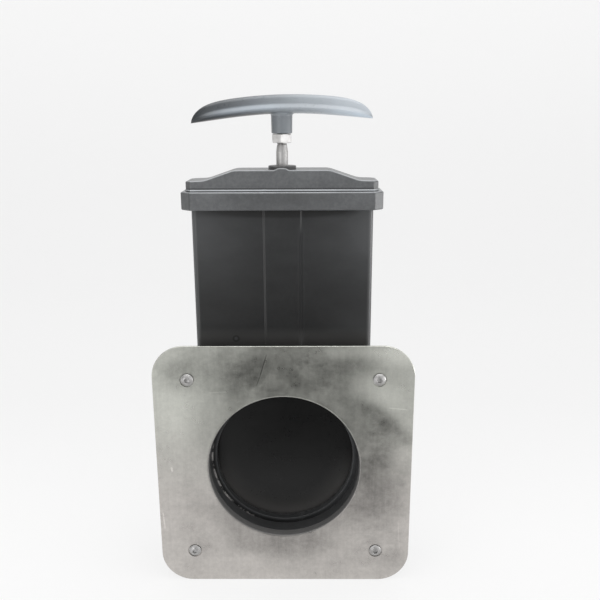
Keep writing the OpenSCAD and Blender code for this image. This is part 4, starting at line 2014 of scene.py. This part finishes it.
@dataclass
class Studio:
    """Pale sweep, soft lamps, dark felt in front and the camera, in metres and degrees."""

    focal_mm: float = 46.74
    shift_up: float = 1 / 12
    eye: Place = (0.0178, -0.5423, 0.2579)
    pitch: float = 16.80
    yaw: float = -0.56
    roll: float = -0.27
    paper: float = 0.92
    paper_glow: float = 1.0
    paper_beyond: float = 0.93
    glow_share: float = 0.75
    sweep_bend: float = 0.6
    sweep_front: float = -2.2
    sweep_back: float = 1.7
    sweep_top: float = 2.4
    sweep_half: float = 3.0
    felt_near: Point = (-0.06, 0.10)
    felt_far: Point = (-0.11, 0.08)
    felt_y: Point = (-0.16, -0.62)
    felt_top: float = 0.10
    front_air: float = 0.40
    back_air: float = 0.85
    left_air: float = 0.36
    right_air: float = 1.15
    lamps: tuple[SoftBox, ...] = (
        SoftBox("top_box", (0.0, -0.1, 1.3), (0.0, 0.05, 0.0), (1.6, 1.4), 5.0),
        SoftBox("left_box", (-0.46, -0.64, 0.06), (0.0, 0.0, 0.05), (0.34, 0.32), 0.7),
        SoftBox("right_box", (0.52, -0.60, 0.20), (0.0, 0.0, 0.15), (0.30, 0.40), 0.1),
        SoftBox("left_side", (-0.95, -0.05, 0.03), (0.0, -0.05, 0.15), (0.2, 0.24), 0.3, True),
        SoftBox("right_side", (0.95, -0.05, 0.02), (0.0, -0.05, 0.15), (0.6, 0.22), 2.4, True),
        SoftBox("crest_box", (0.0, -0.1, 1.1), (0.0, 0.04, 0.2), (1.6, 0.8), 8.0, True),
    )

    def camera(self) -> None:
        """Places the camera."""
        lens = bpy.data.cameras.new("camera")
        lens.sensor_width = 36.0
        lens.lens = self.focal_mm
        lens.shift_y = self.shift_up
        lens.clip_start = 0.01
        pitch, yaw, roll = (math.radians(a) for a in (self.pitch, self.yaw, self.roll))
        ahead = Vector((math.sin(yaw) * math.cos(pitch), math.cos(yaw) * math.cos(pitch),
                        -math.sin(pitch)))
        level = Vector((math.cos(yaw), -math.sin(yaw), 0.0))
        upright = level.cross(ahead)
        right = level * math.cos(roll) + upright * math.sin(roll)
        up = upright * math.cos(roll) - level * math.sin(roll)
        place = Matrix((right, up, -ahead)).transposed().to_4x4()
        place.translation = Vector(self.eye)
        camera = placed("camera", lens)
        camera.matrix_world = place
        bpy.context.scene.camera = camera

    def sweep(self, floor_z: float) -> None:
        """Builds the floor that curves up into the backdrop.

        Args:
            floor_z: Height of the floor.
        """
        bend = self.sweep_bend
        curve = arc((self.sweep_back - bend, bend), bend, 270.0, 360.0, 24)
        line = [(self.sweep_front, floor_z), *((y, floor_z + z) for y, z in curve),
                (self.sweep_back, self.sweep_top)]
        made = bmesh.new()
        left, right = ([made.verts.new((x, y, z)) for y, z in line]
                       for x in (-self.sweep_half, self.sweep_half))
        for i in range(len(line) - 1):
            made.faces.new((left[i], right[i], right[i + 1], left[i + 1])).smooth = True
        mesh = bpy.data.meshes.new("sweep")
        made.to_mesh(mesh)
        made.free()
        mesh.materials.append(self.paper_material())
        sweep = placed("sweep", mesh)

    def paper_material(self) -> bpy.types.Material:
        """Makes the pale paper of the sweep, which glows to camera, gloss and transmission rays.

        Returns:
            The material.
        """
        paper = bpy.data.materials.new("studio_paper")
        graph = Graph.of(paper)
        here = graph.add("ShaderNodeTexCoord", output="Object")
        fibre = graph.noise(here, 400.0, 3.0, 0.6)
        colour = graph.mix(fibre, grey(self.paper - 0.01), grey(self.paper + 0.01))
        matt = graph.add("ShaderNodeBsdfDiffuse", None, {"Color": colour})
        _, along, up = graph.split(here)
        bright = grey(self.paper_glow)
        # The glow dims behind the valve and brightens again up the backdrop: a painted fall-off of
        # light.
        tone = graph.mix(along.step_up(-0.02, 0.45), bright, grey(self.paper_beyond))
        tone = graph.mix(up.step_up(0.0, 0.7), tone, bright)
        glow = graph.add("ShaderNodeEmission", None, {"Color": tone, "Strength": 1.0})
        rays = graph.node("ShaderNodeLightPath")
        seen = sum(Wire(graph, rays.outputs[ray])
                   for ray in ("Is Camera Ray", "Is Glossy Ray", "Is Transmission Ray"))
        sheet = graph.add("ShaderNodeMixShader", None,
                          {0: seen.at_most(1.0) * self.glow_share, 1: matt, 2: glow})
        graph.node("ShaderNodeOutputMaterial", None, {"Surface": sheet})
        return paper

    def flags(self, floor_z: float) -> None:
        """Sets up black felt in front, upright and on the floor, that only gloss shows.

        Args:
            floor_z: Height of the floor.
        """
        felt = bpy.data.materials.new("studio_felt")
        graph = Graph.of(felt)
        here = graph.add("ShaderNodeTexCoord", output="Object")
        colour = graph.mix(graph.noise(here, 60.0), grey(0.02), grey(0.03))
        matt = graph.add("ShaderNodeBsdfDiffuse", None, {"Color": colour})
        graph.node("ShaderNodeOutputMaterial", None, {"Surface": matt})
        base = floor_z + 0.001
        near, far = self.felt_y
        left, right = self.felt_near
        far_left, far_right = self.felt_far
        corners = [(left, near, base), (right, near, base), (far_right, far, base),
                   (far_right, far, self.felt_top), (far_left, far, self.felt_top),
                   (far_left, far, base)]
        mesh = bpy.data.meshes.new("flags")
        mesh.from_pydata(corners, [], [(0, 1, 2, 5), (5, 2, 3, 4)])
        mesh.materials.append(felt)
        cards = placed("flags", mesh)
        leave_to_gloss(cards)

    def air(self) -> bpy.types.World:
        """Makes the surround: dim in front of the valve and at its left, bright round about.

        Returns:
            The world.
        """
        world = bpy.data.worlds.new("studio_air")
        graph = Graph.of(world)
        across, along, _ = graph.split(graph.add("ShaderNodeTexCoord", output="Generated"))
        share = abs(across).step_up(0.02, 0.45)
        share = share + (1.0 - share) * along.step_up(-0.9, 0.1)
        colour = graph.mix(share, grey(self.front_air), grey(self.back_air))
        colour = graph.mix(across.step_up(-0.55, -0.95), colour, grey(self.left_air))
        colour = graph.mix(across.step_up(0.55, 0.95), colour, grey(self.right_air))
        glow = graph.add("ShaderNodeBackground", None, {"Color": colour, "Strength": 1.0})
        graph.node("ShaderNodeOutputWorld", None, {"Surface": glow})
        return world

    def build(self, floor_z: float) -> None:
        """Sets up the camera, the sweep, the felt, the lamps and the world.

        Args:
            floor_z: Height of the floor.
        """
        scene = bpy.context.scene
        scene.view_settings.view_transform = "Standard"
        self.camera()
        self.sweep(floor_z)
        self.flags(floor_z)
        for lamp in self.lamps:
            lamp.hang()
        scene.world = self.air()


# ---------------------------------------------------------------------- main


def main() -> None:
    """Builds the valve round its frame."""
    logging.basicConfig(level=logging.INFO, format="%(name)s: %(message)s")
    for thing in list(bpy.data.objects):
        bpy.data.objects.remove(thing)
    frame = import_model()
    nodes = frame["nodes"]
    Studio().build(reach("flange_plate")[0].z * MM)
    FlangePlate().build()
    ValveBody(nodes).build()
    HousingTop(nodes).build()
    CornerFasteners().build()
    GateAndShaft(nodes).build()
    PullHandle().build()


if __name__ == "__main__":
    main()
